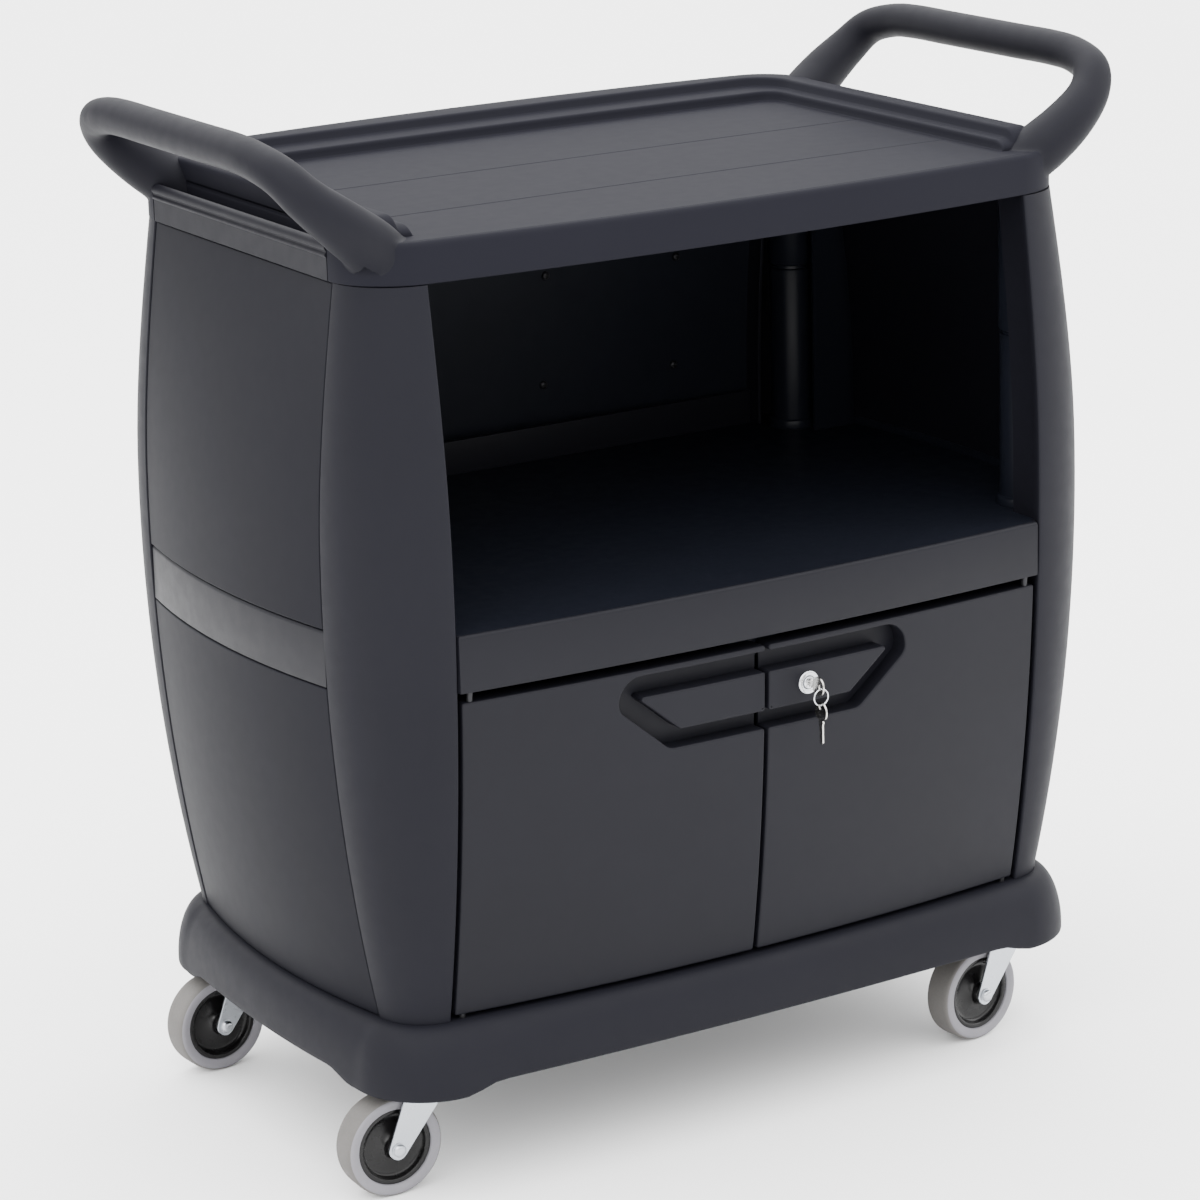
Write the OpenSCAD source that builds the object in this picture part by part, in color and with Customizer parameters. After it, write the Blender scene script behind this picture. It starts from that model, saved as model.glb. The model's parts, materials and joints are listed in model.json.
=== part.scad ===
// Housekeeping cart with a lockable double-door cabinet, an open upper shelf,
// a rimmed top deck, two push handles and four swivel casters.
// The long side runs along X, the doors face -Y and the floor is Z = 0.

/* [Levels] */
// Height of the top deck's working surface
deck_z = 927; // [900:1:950]
// Height of the middle shelf's surface
shelf_z = 566; // [550:1:585]
// Height of the cabinet floor
floor_z = 178; // [174:1:182]
// Depth of the lip round each moulding
lip_h = 39; // [34:1:44]

/* [Body] */
// Distance from the middle to the axis of the corner rounding, along X
corner_x = 330; // [325:1:335]
// Distance from the middle to the axis of the corner rounding, along Y
corner_y = 184; // [180:1:188]
// Corner radius where the barrel shape is widest
bulge_r = 90; // [88:1:92]
// Height where the barrel shape is widest
bulge_z = 585; // [570:1:600]
// Radius of the barrel shape's upright arc
barrel_arc = 2100; // [2000:10:2300]
// Thickness of the moulded walls
wall = 4; // [3:0.5:5]

/* [Deck] */
// Half length of the deck over its end aprons
deck_half_x = 396; // [390:1:400]
// Half depth of the deck at its corners
deck_half_y = 258; // [254:1:262]
// Corner radius of the deck
deck_r = 70; // [62:1:74]
// Height of the rim above the deck
rim_h = 20; // [18:1:26]

/* [Handles] */
// Distance from the middle to the handle grip, along X
grip_x = 456; // [450:1:462]
// Height of the handle grip's axis
grip_z = 1005; // [998:1:1012]
// Radius of the handle grip
grip_r = 18; // [16:0.5:20]

/* [Doors] */
// Thickness of a door
door_t = 23; // [20:1:25]
// Half the gap between the doors
door_gap = 2.2; // [2:0.1:3]
// Distance from the middle to the hinge axis, along X
hinge_x = 316; // [315:0.5:317]
// Hinge pin radius
hinge_r = 3; // [2.5:0.25:3.5]

/* [Lock] */
// Place of the lock along X
lock_x = 47; // [40:1:60]
// Height of the lock
lock_z = 455; // [445:1:458]
// Radius of the lock's threaded body
lock_r = 9.5; // [9:0.25:10]

/* [Casters] */
// Wheel radius
wheel_r = 50; // [50:0.5:50]
// Distance from the middle to the swivel axes, along X
swivel_x = 341; // [338:1:344]
// Distance from the middle to the swivel axes, along Y
swivel_y = 189; // [186:1:192]
// Trail of the wheel behind its swivel axis
trail = 37; // [35:1:39]
// Radius of the axle bolt
axle_r = 4; // [3.5:0.25:4.5]

/* [Hidden] */
$fn = 64;
eps = 0.01;

// Colours
plastic = [0.27, 0.27, 0.30];
panel_plastic = [0.25, 0.25, 0.28];
dark_plastic = [0.10, 0.10, 0.12];
steel = [0.80, 0.82, 0.85];
rubber = [0.62, 0.61, 0.63];

// Corners in the order left or right, then front or rear
FL = [-1, -1];
FR = [1, -1];
RL = [-1, 1];
RR = [1, 1];
CORNERS = [FL, FR, RL, RR];

// Levels worked out from the driving heights
lip_z = shelf_z - 55;
deck_low_z = deck_z - lip_h;
skirt_z = 110;
skirt_gap_z = 119;
post_low_z = floor_z + eps;
post_high_z = deck_low_z - 0.5;
door_low_z = floor_z + 4.5;
door_high_z = lip_z - 10;
plate_t = 10;
ledge_h = 36;

// Barrel shape: the corner radius at height z, and how far the faces bow outwards
function barrel_r(z) = bulge_r - barrel_arc + sqrt(pow(barrel_arc, 2) - pow(z - bulge_z, 2));
function front_bow(z) = 20 - 15 * (z - floor_z) / (deck_low_z - floor_z);
function end_bow(z) = 20 - 19 * pow((z - floor_z) / (deck_low_z - floor_z), 3);

// Points of one quarter of a plan outline, from the end's middle to the front's middle
bow_steps = 6;
arc_steps = 5;
function quarter(cx, cy, r, front, end) = concat(
    [for (i = [0:bow_steps - 1])
        let (t = i / bow_steps) [cx + r + end * (1 - t * t), cy * t]],
    [for (i = [0:arc_steps])
        let (a = 90 * i / arc_steps) [cx + r * cos(a), cy + r * sin(a)]],
    [for (i = [bow_steps - 1:-1:0])
        let (t = i / bow_steps) [cx * t, cy + r + front * (1 - t * t)]]
);
function outline(cx, cy, r, front, end) =
    let (q = quarter(cx, cy, r, front, end), n = len(q)) concat(
        q,
        [for (i = [n - 2:-1:0]) [-q[i].x, q[i].y]],
        [for (i = [1:n - 1]) [-q[i].x, -q[i].y]],
        [for (i = [n - 2:-1:1]) [q[i].x, -q[i].y]]
    );

// Solid of one plan outline between two heights
module slab(z0, z1, cx, cy, r, front, end) {
    translate([0, 0, z0])
        linear_extrude(z1 - z0)
            polygon(outline(cx, cy, r, front, end));
}

// Box between two corners
module block(low, high) {
    translate(low)
        cube(high - low);
}

// Copies of the children at the four corners, mirrored into place
module at_corner(c) {
    scale_x = c.x > 0 ? 0 : 1;
    scale_y = c.y > 0 ? 0 : 1;
    mirror([scale_x, 0, 0])
        mirror([0, scale_y, 0])
            children();
}

// Barrel-shaped body between two heights, set in from the outer skin
barrel_steps = 7;
module barrel_body(z0, z1, inset) {
    hull()
        for (i = [0:barrel_steps]) {
            z = z0 + (z1 - z0) * i / barrel_steps;
            slab(z, z + eps, corner_x, corner_y, barrel_r(z) - inset, front_bow(z), end_bow(z));
        }
}

// Curved sheet cut from the barrel shape
module barrel_sheet(z0, z1, inset, thickness) {
    difference() {
        barrel_body(z0, z1, inset);
        barrel_body(z0 - 1, z1 + 1, inset + thickness);
    }
}

// ---------------------------------------------------------------- base

skirt_top_r = barrel_r(floor_z);
skirt_flare = 28.5;
function skirt_r(z) = skirt_top_r
    + skirt_flare * sqrt(1 - pow((z - skirt_z - 5) / (floor_z - skirt_z - 5), 2));
skirt_levels = [0, 0.07, 0.3, 0.5, 0.7, 0.84, 0.93, 0.98, 1];

module skirt_body(inset) {
    hull()
        for (t = skirt_levels) {
            z = skirt_z + (floor_z - skirt_z) * t - (inset > 0 ? 6 * (1 + t) : 0);
            level = max(z, skirt_z + 5);
            curl = z < skirt_z + 4 && inset == 0 ? 3 : 0;
            slab(z, z + eps, corner_x, corner_y, skirt_r(level) - inset - curl,
                front_bow(floor_z) - 13 * (1 - t), end_bow(floor_z) - 10 * (1 - t));
        }
}

pad_z = 125;
pad = [98, 72];
pad_stem = [70, 50];

// Cuts that lift the skirt's edge between the corners
module skirt_relief() {
    rise = skirt_gap_z - skirt_z;
    for (side = [[0, 306], [90, 148]])
        rotate([0, 0, side.x])
            rotate([90, 0, 0])
                translate([0, skirt_z - 1, -500])
                    linear_extrude(1000)
                        polygon([[-side.y - 26, 0], [-side.y - 12, rise * 0.4], [-side.y + 14, rise + 1],
                                 [side.y - 14, rise + 1], [side.y + 12, rise * 0.4], [side.y + 26, 0]]);
}

module base_tray() {
    color(plastic)
        difference() {
            union() {
                difference() {
                    skirt_body(0);
                    skirt_body(5);
                    skirt_relief();
                }
                for (c = CORNERS)
                    translate([c.x * swivel_x, c.y * swivel_y, 0])
                        for (step = [[pad, pad_z, pad_z + 22], [pad_stem, pad_z + 20, floor_z - 6]])
                            block([-step[0].x / 2, -step[0].y / 2, step[1]],
                                [step[0].x / 2, step[0].y / 2, step[2]]);
            }
            for (c = CORNERS)
                caster_bolt_pattern(c, bolt_r, pad_z - 1, pad_z + 26);
            for (s = [-1, 1])
                hinge_cylinder(s, hinge_r, floor_z - 14, floor_z + 10);
        }
}

// ---------------------------------------------------------------- shelf

shelf_r = bulge_r;
band_r = bulge_r - 2;
band_half_y = corner_y - 1.5;
lip_half_x = corner_x - 2;
slot = 0.8;

// Room for the flanges of the corner posts
module flange_slots(z0, z1) {
    for (c = CORNERS)
        at_corner(c) {
            block([jamb_x - slot, corner_y + barrel_r(shelf_z) - jamb_depth - slot, z0],
                [jamb_x + jamb_t + slot, corner_y + 120, z1]);
            block([fin_x - slot, fin_y - slot, z0], [corner_x + 120, fin_y + fin_t + slot, z1]);
            block([corner_x + barrel_r(lip_z) - wall - 3 - lap - slot, fin_y - slot, z0],
                [corner_x + bulge_r - wall - 1, corner_y + 2, z1]);
        }
}

module shelf_outline_slab(z0, z1, inset) {
    slab(z0, z1, corner_x, corner_y, shelf_r - inset, front_bow(lip_z + 27), end_bow(lip_z + 27));
}

module middle_shelf() {
    under_z = shelf_z - plate_t;
    color(plastic)
        difference() {
            union() {
                intersection() {
                    difference() {
                        shelf_outline_slab(lip_z, shelf_z, 0);
                        shelf_outline_slab(lip_z - 1, under_z, 5);
                    }
                    block([-lip_half_x, -400, 0], [lip_half_x, 400, 2 * shelf_z]);
                }
                intersection() {
                    difference() {
                        shelf_outline_slab(lip_z, shelf_z, shelf_r - band_r);
                        shelf_outline_slab(lip_z - 1, under_z, shelf_r - band_r + 5);
                    }
                    block([-500, -band_half_y, 0], [500, band_half_y, 2 * shelf_z]);
                }
                for (c = CORNERS)
                    translate([c.x * corner_x, c.y * corner_y, under_z])
                        cylinder(r = barrel_r(shelf_z) - wall - 2, h = plate_t);
                block([-lip_half_x, 240, shelf_z - 1], [lip_half_x, 245, shelf_z + ledge_h]);
                for (s = [-1, 1])
                    block([s * hinge_x - 9, -corner_y - barrel_r(lip_z) + 2, lip_z],
                        [s * hinge_x + 9, -corner_y - barrel_r(lip_z) + 24, under_z + 1]);
            }
            flange_slots(0, 2 * shelf_z);
            for (s = [-1, 1])
                hinge_cylinder(s, hinge_r, lip_z - 10, lip_z + 22);
        }
}

// ---------------------------------------------------------------- deck

deck_cx = deck_half_x - deck_r;
deck_cy = deck_half_y - deck_r;
deck_bow = 6;
trough_x = 366;
trough_half_y = 180;
rim_in_x = 326;
rim_in_y = 184;

// Stepped section of the rim: w wide, its ledge step wide, rising outwards from its foot
module rim_section(w, step) {
    polygon([[0, -2], [0, 0], [4, rim_h * 0.42], [4 + step, rim_h * 0.55], [9 + step, rim_h * 0.92],
             [12 + step, rim_h], [w - 4, rim_h], [w, rim_h * 0.85], [w, -2]]);
}

module deck_outline_slab(z0, z1, inset) {
    slab(z0, z1, deck_cx, deck_cy, deck_r - inset, deck_bow, 0);
}

module top_deck() {
    color(plastic)
        difference() {
            union() {
                difference() {
                    deck_outline_slab(deck_low_z, deck_z, 0);
                    deck_outline_slab(deck_low_z - 1, deck_z - plate_t, 6);
                }
                translate([-trough_x, rim_in_y, deck_z])
                    rotate([90, 0, 90])
                        linear_extrude(2 * trough_x)
                            rim_section(deck_half_y - rim_in_y - 4, 30);
                for (s = [0, 1])
                    mirror([s, 0, 0])
                        translate([rim_in_x, 230, deck_z])
                            rotate([90, 0, 0])
                                linear_extrude(448)
                                    rim_section(trough_x - rim_in_x, 10);
                for (s = [-1, 1])
                    block([s * (trough_x - 3) - 3, -trough_half_y - 1.5, deck_low_z],
                        [s * (trough_x - 3) + 3, trough_half_y + 1.5, deck_z]);
            }
            for (s = [0, 1])
                mirror([s, 0, 0])
                    block([trough_x, -trough_half_y, deck_low_z - 1], [500, trough_half_y, deck_z + 60]);
            for (y = [-126, 26])
                block([-rim_in_x, y - 1, deck_z - 1], [rim_in_x, y + 1, deck_z + 1]);
        }
}

// Apron that closes the deck's end, with the drip trough behind it
module end_apron(s) {
    gap = 0.6;
    half = trough_half_y - gap;
    apron_t = 5;
    top = deck_z - 6;
    trough_z = deck_z - 28;
    color(plastic)
        mirror([s < 0 ? 1 : 0, 0, 0]) {
            block([deck_half_x - apron_t, -half, deck_low_z], [deck_half_x, half, top]);
            block([trough_x + gap, -half, trough_z], [deck_half_x - apron_t, half, trough_z + wall]);
            translate([deck_half_x - apron_t, half, top])
                rotate([90, 0, 0])
                    cylinder(r = 4, h = 2 * half);
        }
}

// ---------------------------------------------------------------- handles

// The handle's axis from the deck's corner to the middle of the grip, with its radius
handle_route = [
    [346, -204, 897, 29],
    [370, -213, 920, 27.5],
    [402, -217, 946, 24],
    [431, -210, 971, 20.5],
    [448, -191, 992, 18.8],
    [455, -157, 1002, grip_r],
    [grip_x, -118, grip_z, grip_r],
    [grip_x, -60, grip_z, grip_r],
    [grip_x, 0, grip_z, grip_r],
    [grip_x, 60, grip_z, grip_r]
];
// The handles sit a little nearer the cart's front
handle_y = -10;
ring_sides = 18;
ring_parts = 3;

// Point on the smooth curve through four neighbours, t of the way from b to c
function through(a, b, c, d, t) = 0.5 * (2 * b + (c - a) * t
    + (2 * a - 5 * b + 4 * c - d) * t * t + (3 * b - a - 3 * c + d) * pow(t, 3));
function half_route(p) = [for (i = [0:len(p) - 3]) for (k = [0:ring_parts - 1])
    through(p[max(i - 1, 0)], p[i], p[i + 1], p[i + 2], k / ring_parts)];
function unit(v) = v / norm(v);
function xyz(p) = [p[0], p[1], p[2]];

// Rings of points round a route, whose points hold a place and a radius
function rings(p) = [for (i = [0:len(p) - 1])
    let (before = p[max(i - 1, 0)],
         after = p[min(i + 1, len(p) - 1)],
         along = unit(xyz(after) - xyz(before)),
         out = unit(cross(along, [-0.4, 0, 1])),
         up = cross(out, along))
    [for (k = [0:ring_sides - 1])
        let (a = 360 * k / ring_sides) xyz(p[i]) + p[i][3] * (out * cos(a) + up * sin(a))]];

module swept_tube(p) {
    loops = rings(p);
    n = len(loops);
    points = [for (loop = loops) for (q = loop) q];
    sides = [for (i = [0:n - 2]) for (k = [0:ring_sides - 1])
        let (m = (k + 1) % ring_sides)
        [i * ring_sides + k, i * ring_sides + m, (i + 1) * ring_sides + m, (i + 1) * ring_sides + k]];
    first = [for (k = [ring_sides - 1:-1:0]) k];
    last = [for (k = [0:ring_sides - 1]) (n - 1) * ring_sides + k];
    polyhedron(points, concat(sides, [first], [last]), convexity = 6);
}

module handle(s) {
    half = half_route(handle_route);
    whole = concat(half, [for (i = [len(half) - 2:-1:0]) [half[i][0], -half[i][1], half[i][2], half[i][3]]]);
    color(plastic)
        mirror([s < 0 ? 1 : 0, 0, 0])
            difference() {
                translate([0, handle_y, 0])
                    swept_tube(whole);
                deck_outline_slab(deck_low_z - 100, deck_z, -0.2);
                block([rim_in_x - 40, -218.5, deck_z - 20], [trough_x + 0.5, 300, deck_z + rim_h + 0.5]);
                block([0, -400, deck_low_z - 100], [500, 400, deck_z - 22]);
            }
}

// ---------------------------------------------------------------- posts

jamb_x = corner_x + 1.4;
jamb_t = 3.4;
jamb_depth = 45;
fin_x = corner_x + 32;
fin_y = 166;
fin_t = 3.4;
lap = 3;
profile_steps = 12;

// Points up the barrel's side between the post's ends, set in from the skin
function profile(inset, far) = [for (i = [0:profile_steps])
    let (z = post_low_z + (post_high_z - post_low_z) * i / profile_steps)
    [far + barrel_r(z) - inset, z]];
function band(inset, thickness, far) = concat(
    profile(inset, far),
    [for (i = [profile_steps:-1:0]) profile(inset + thickness, far)[i]]
);

module post(c) {
    color(plastic)
        at_corner(c) {
            translate([corner_x, corner_y, 0])
                rotate_extrude(angle = 90)
                    polygon(band(0, wall, 0));
            // jamb beside the door opening
            translate([jamb_x, 0, 0])
                rotate([90, 0, 90])
                    linear_extrude(jamb_t)
                        polygon(band(wall - 0.5, jamb_depth - wall, corner_y));
            // lap behind the end panel and the fin at its inner edge
            translate([0, corner_y + 1, 0])
                rotate([90, 0, 0])
                    linear_extrude(corner_y + 1 - fin_y)
                        polygon(band(wall + 3, lap, corner_x));
            translate([0, fin_y + fin_t, 0])
                rotate([90, 0, 0])
                    linear_extrude(fin_t)
                        polygon(concat(profile(wall + 4, corner_x), [[fin_x, post_high_z], [fin_x, post_low_z]]));
            // bridge between the skin and the lap
            translate([0, corner_y + 1.5, 0])
                rotate([90, 0, 0])
                    linear_extrude(1.5)
                        polygon(band(1, wall + 4, corner_x));
        }
}

upright_x = 360;
upright_y = 206;
upright_r = 22.5;
lower_upright = [351, 190, 15];
collar_z = 742;

// Round column between the shelf and the deck, thicker above its joint
module upright(c) {
    color(dark_plastic)
        at_corner(c)
            translate([upright_x, upright_y, 0])
                rotate_extrude()
                    polygon([[0, shelf_z], [upright_r + 3, shelf_z], [upright_r + 3, shelf_z + 8],
                             [upright_r, shelf_z + 10], [upright_r, collar_z], [upright_r - 2, collar_z + 2],
                             [upright_r - 2, collar_z + 5], [upright_r + 1.5, collar_z + 6],
                             [upright_r + 1.5, deck_z - plate_t], [0, deck_z - plate_t]]);
}

module lower_uprights() {
    color(dark_plastic)
        for (c = CORNERS)
            at_corner(c)
                translate([lower_upright.x, lower_upright.y, floor_z + eps])
                    cylinder(r = lower_upright.z, h = shelf_z - plate_t - floor_z - eps);
}

// ---------------------------------------------------------------- panels

panel_gap = 1.2;

module end_panel(s, z0, z1) {
    color(panel_plastic)
        mirror([s < 0 ? 1 : 0, 0, 0])
            intersection() {
                barrel_sheet(z0, z1, 0.8, 4);
                block([corner_x, -corner_y + panel_gap, z0], [500, corner_y - panel_gap, z1]);
            }
}

back_inset = 18;
back_t = 4;
back_half_x = 327;
screw_r = 4.5;
screw_stem_r = 2;

// Inner face of the back panels at a place
function back_y(x, z) = corner_y + barrel_r(z) - back_inset - back_t
    + front_bow(z) * (1 - pow(x / corner_x, 2));

// Screws of the back panels: places along X and heights
function back_screws() = concat(
    [for (x = [-240, -80, 80, 240]) for (z = [640, 760, 860]) [x, z]],
    [for (x = [-240, 0, 240]) for (z = [230, 460]) [x, z]]
);

// Cylinder through the back panel at a screw, between two depths from its inner face
module screw_cylinder(p, r, from, to) {
    translate([p.x, back_y(p.x, p.y) + to, p.y])
        rotate([90, 0, 0])
            cylinder(r = r, h = to - from);
}

module back_panel(z0, z1) {
    color(dark_plastic)
        difference() {
            intersection() {
                barrel_sheet(z0, z1, back_inset, back_t);
                block([-back_half_x, 150, z0], [back_half_x, 400, z1]);
            }
            for (p = back_screws())
                screw_cylinder(p, screw_stem_r, -10, 10);
        }
}

module panel_screws() {
    color(steel)
        for (p = back_screws()) {
            screw_cylinder(p, screw_stem_r, -1, back_t + 0.5);
            screw_cylinder(p, screw_r, -3.5, -1.1);
        }
}

// ---------------------------------------------------------------- doors

door_edge_x = 325.5;
door_inset = 1.5;
pocket_depth = 19;
strike = [22, 14];
hinge_cover = 4.5;

// Outer face of the doors at a place
function face_y(x, z) = -corner_y - barrel_r(z) + door_inset
    - front_bow(z) * (1 - pow(x / corner_x, 2));
hinge_low = [face_y(hinge_x, door_low_z) + hinge_cover, door_low_z];
hinge_high = [face_y(hinge_x, door_high_z) + hinge_cover, door_high_z];
hinge_lean = atan((hinge_low.x - hinge_high.x) / (hinge_high.y - hinge_low.y));

// Cylinder on the leaning hinge axis of the left or right door, between two heights
module hinge_cylinder(s, r, z0, z1) {
    translate([s * hinge_x, hinge_low.x, hinge_low.y])
        rotate([hinge_lean, 0, 0])
            translate([0, 0, (z0 - hinge_low.y) / cos(hinge_lean)])
                cylinder(r = r, h = (z1 - z0) / cos(hinge_lean));
}

// Outline of the hand pocket, which narrows downwards away from the middle
module pocket_outline(grow) {
    inner = -30;
    polygon([[inner, 495 + grow], [142 + grow, 495 + grow], [158 + grow, 483 + grow], [162 + grow, 470],
             [158 + grow, 458], [116 + grow, 421 - grow], [104 + grow, 417 - grow], [inner, 417 - grow]]);
}

module pull_plate_outline() {
    polygon([[-30, 474], [134, 474], [139, 470], [100, 438], [94, 435], [-30, 435]]);
}

module door(s) {
    back_y_at_strike = face_y(15, 492) + door_t - 2;
    mirror([s < 0 ? 1 : 0, 0, 0])
        difference() {
            intersection() {
                barrel_sheet(door_low_z, door_high_z, door_inset, door_t);
                block([door_gap, -400, door_low_z], [door_edge_x, -100, door_high_z]);
            }
            // channel of the hand pocket round the flush pull plate
            difference() {
                translate([0, face_y(80, 495) + pocket_depth, 0])
                    rotate([90, 0, 0])
                        linear_extrude(60)
                            pocket_outline(0);
                translate([0, -100, 0])
                    rotate([90, 0, 0])
                        linear_extrude(300)
                            pull_plate_outline();
            }
            hinge_cylinder(1, hinge_r + 0.06, door_low_z - 5, door_low_z + 22);
            hinge_cylinder(1, hinge_r + 0.06, door_high_z - 20, door_high_z + 5);
            block([15 - strike.x / 2, back_y_at_strike, 492 - strike.y / 2],
                [15 + strike.x / 2, back_y_at_strike + 30, 492 + strike.y / 2]);
        }
}

module door_left() {
    color(panel_plastic)
        door(-1);
}

module door_right() {
    color(panel_plastic)
        difference() {
            door(1);
            lock_cylinder(lock_r + 0.05, lock_face_y - 10, lock_face_y + 60);
            lock_cylinder(bezel_r + 0.3, lock_face_y - 10, lock_face_y + 1.5);
        }
}

module hinge_pins(s) {
    color(steel) {
        hinge_cylinder(s, hinge_r, floor_z - 13, door_low_z + 20);
        hinge_cylinder(s, hinge_r, door_high_z - 18, lip_z + 20);
    }
}

catch_y = face_y(0, 492) + door_t + 2.5;

// Magnetic catch that hangs from the shelf behind both doors
module door_catch() {
    color(dark_plastic)
        block([-28, catch_y, 484], [28, catch_y + 14, shelf_z - plate_t]);
}

module strike_plate(s) {
    back = face_y(15, 492) + door_t - 2;
    color(steel)
        mirror([s < 0 ? 1 : 0, 0, 0])
            block([15.5 - strike.x / 2, back, 492.5 - strike.y / 2],
                [14.5 + strike.x / 2, back + 1.5, 491.5 + strike.y / 2]);
}

// ---------------------------------------------------------------- lock

bezel_r = 11.5;
plug_r = 6;
lock_face_y = face_y(lock_x, lock_z);
lock_back_y = lock_face_y + door_t + 9;
cam_y = lock_back_y + 0.6;
key_eye_y = lock_face_y - 22;
key_eye_r = 3;
key_bow_r = 9.5;
ring_big_r = 8;
ring_wire_r = 0.8;
// How far the ring and the spare key hang down in the eye that holds each
hang = 1.8;

// Cylinder along the lock's axis between two places along Y
module lock_cylinder(r, y0, y1) {
    translate([lock_x, y1, lock_z])
        rotate([90, 0, 0])
            cylinder(r = r, h = y1 - y0);
}

module lock_body() {
    color(steel)
        difference() {
            union() {
                lock_cylinder(bezel_r, lock_face_y - 2.5, lock_face_y + 1.5);
                lock_cylinder(lock_r, lock_face_y + 1, lock_back_y);
            }
            lock_cylinder(plug_r + 0.05, lock_face_y - 5, lock_back_y + 1);
        }
}

module lock_nut() {
    color(steel)
        difference() {
            translate([lock_x, lock_face_y + door_t + 6.5, lock_z])
                rotate([90, 0, 0])
                    cylinder(r = 14, h = 4.5, $fn = 6);
            lock_cylinder(lock_r + 0.05, lock_face_y, lock_back_y + 5);
        }
}

module lock_plug() {
    color(steel)
        difference() {
            union() {
                lock_cylinder(plug_r, lock_face_y - 3, lock_back_y + 0.6);
                lock_cylinder(3, lock_back_y, cam_y + 5);
            }
            translate([lock_x, 0, lock_z])
                block([-0.9, lock_face_y - 5, -3.6], [0.9, lock_face_y + 14, 3.6]);
        }
}

// Flat arm behind the door, pointing down while the lock is open
module lock_cam() {
    color(steel)
        difference() {
            union() {
                lock_cylinder(9, cam_y, cam_y + 2.5);
                translate([lock_x, 0, lock_z])
                    block([-7, cam_y, -62], [7, cam_y + 2.5, 0]);
            }
            lock_cylinder(3.02, cam_y - 1, cam_y + 4);
        }
}

// Flat key in the YZ plane, with its eye at the origin and its blade along +Y
module key(blade) {
    rotate([90, 0, 90])
        translate([0, 0, -0.8])
            difference() {
                union() {
                    linear_extrude(1.6)
                        translate([4.5, 0])
                            circle(r = key_bow_r);
                    linear_extrude(1.6)
                        translate([12, -3])
                            square([blade, 6]);
                }
                translate([0, 0, -1])
                    cylinder(r = key_eye_r, h = 4);
            }
}

module door_key() {
    color(steel)
        translate([lock_x, key_eye_y, lock_z])
            key(22);
}

module key_ring() {
    color(steel)
        translate([lock_x, key_eye_y, lock_z - hang - ring_big_r])
            rotate([90, 0, 0])
                rotate_extrude()
                    translate([ring_big_r, 0])
                        circle(r = ring_wire_r, $fn = 24);
}

module spare_key() {
    color(steel)
        translate([lock_x, key_eye_y, lock_z - 2 * hang - 2 * ring_big_r])
            rotate([-90, 0, 0])
                key(26);
}

// ---------------------------------------------------------------- casters

bolt_r = 4;
plate_size = [94, 68];
plate_thick = 3;
hole_x = 76;
hole_y = 50;
crown_z = 104;
race_gap = 0.5;
race_z = 115;
kingpin_r = 6;
tread_half = 16;
hub_half = 18.4;
fork_in = 19;
fork_t = 3;
hub_r = 38;
// How far each caster is turned at rest, in the order of CORNERS
yaw = [-2, 8, 4, -5];

function corner_index(c) = (c.x > 0 ? 1 : 0) + (c.y > 0 ? 2 : 0);

// Frame of one caster: swivel axis along Z, wheel trailing towards -X
module caster_frame(c) {
    translate([c.x * swivel_x, c.y * swivel_y, 0])
        rotate([0, 0, yaw[corner_index(c)]])
            children();
}

module caster_bolt_pattern(c, r, z0, z1) {
    for (x = [-1, 1])
        for (y = [-1, 1])
            translate([c.x * swivel_x + x * hole_x / 2, c.y * swivel_y + y * hole_y / 2, z0])
                cylinder(r = r, h = z1 - z0);
}

module caster_plate(c) {
    color(steel)
        difference() {
            union() {
                translate([c.x * swivel_x, c.y * swivel_y, 0]) {
                    block([-plate_size.x / 2, -plate_size.y / 2, pad_z - plate_thick],
                        [plate_size.x / 2, plate_size.y / 2, pad_z]);
                    translate([0, 0, race_z + race_gap])
                        cylinder(r = 27, h = pad_z - race_z - race_gap);
                    translate([0, 0, crown_z - 5])
                        cylinder(r = kingpin_r, h = pad_z - crown_z + 5);
                    translate([0, 0, crown_z - 5])
                        cylinder(r = 9, h = 4.5);
                }
            }
            caster_bolt_pattern(c, bolt_r + 0.3, pad_z - 10, pad_z + 1);
        }
}

module fork(c) {
    half = fork_in + fork_t;
    color(steel)
        caster_frame(c)
            difference() {
                union() {
                    block([-26, -half, crown_z], [21, half, crown_z + fork_t]);
                    cylinder_between(25, crown_z, race_z);
                    for (s = [-1, 1])
                        translate([0, s > 0 ? half : -fork_in, 0])
                            rotate([90, 0, 0])
                                linear_extrude(fork_t)
                                    fork_leg();
                }
                cylinder_between(kingpin_r + 0.06, crown_z - 1, race_z + 1);
                axle_cylinder(axle_r + 0.05, half + 1);
            }
}

// Side shape of a fork leg, tapering to a round end at the axle
module fork_leg() {
    polygon([[21, crown_z + fork_t], [-26, crown_z + fork_t], [-trail - 9.9, wheel_r + 1.6],
             [-trail + 7.2, wheel_r - 7]]);
    translate([-trail, wheel_r])
        circle(r = 10);
}

module cylinder_between(r, z0, z1) {
    translate([0, 0, z0])
        cylinder(r = r, h = z1 - z0);
}

module axle_cylinder(r, half) {
    translate([-trail, half, wheel_r])
        rotate([90, 0, 0])
            cylinder(r = r, h = 2 * half);
}

module axle(c) {
    half = fork_in + fork_t;
    color(steel)
        caster_frame(c) {
            axle_cylinder(axle_r, half + 1);
            for (s = [-1, 1])
                translate([-trail, s > 0 ? half + 5 : -half, wheel_r])
                    rotate([90, 0, 0])
                        cylinder(r = 7, h = 5);
        }
}

module hub(c) {
    color(dark_plastic)
        caster_frame(c)
            translate([-trail, 0, wheel_r])
                rotate([90, 0, 0])
                    rotate_extrude()
                        polygon([[axle_r + 0.06, -hub_half], [10, -hub_half], [12, -6], [31, -6], [34, -13],
                                 [hub_r, -13], [hub_r, 13], [34, 13], [31, 6], [12, 6], [10, hub_half],
                                 [axle_r + 0.06, hub_half]]);
}

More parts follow.
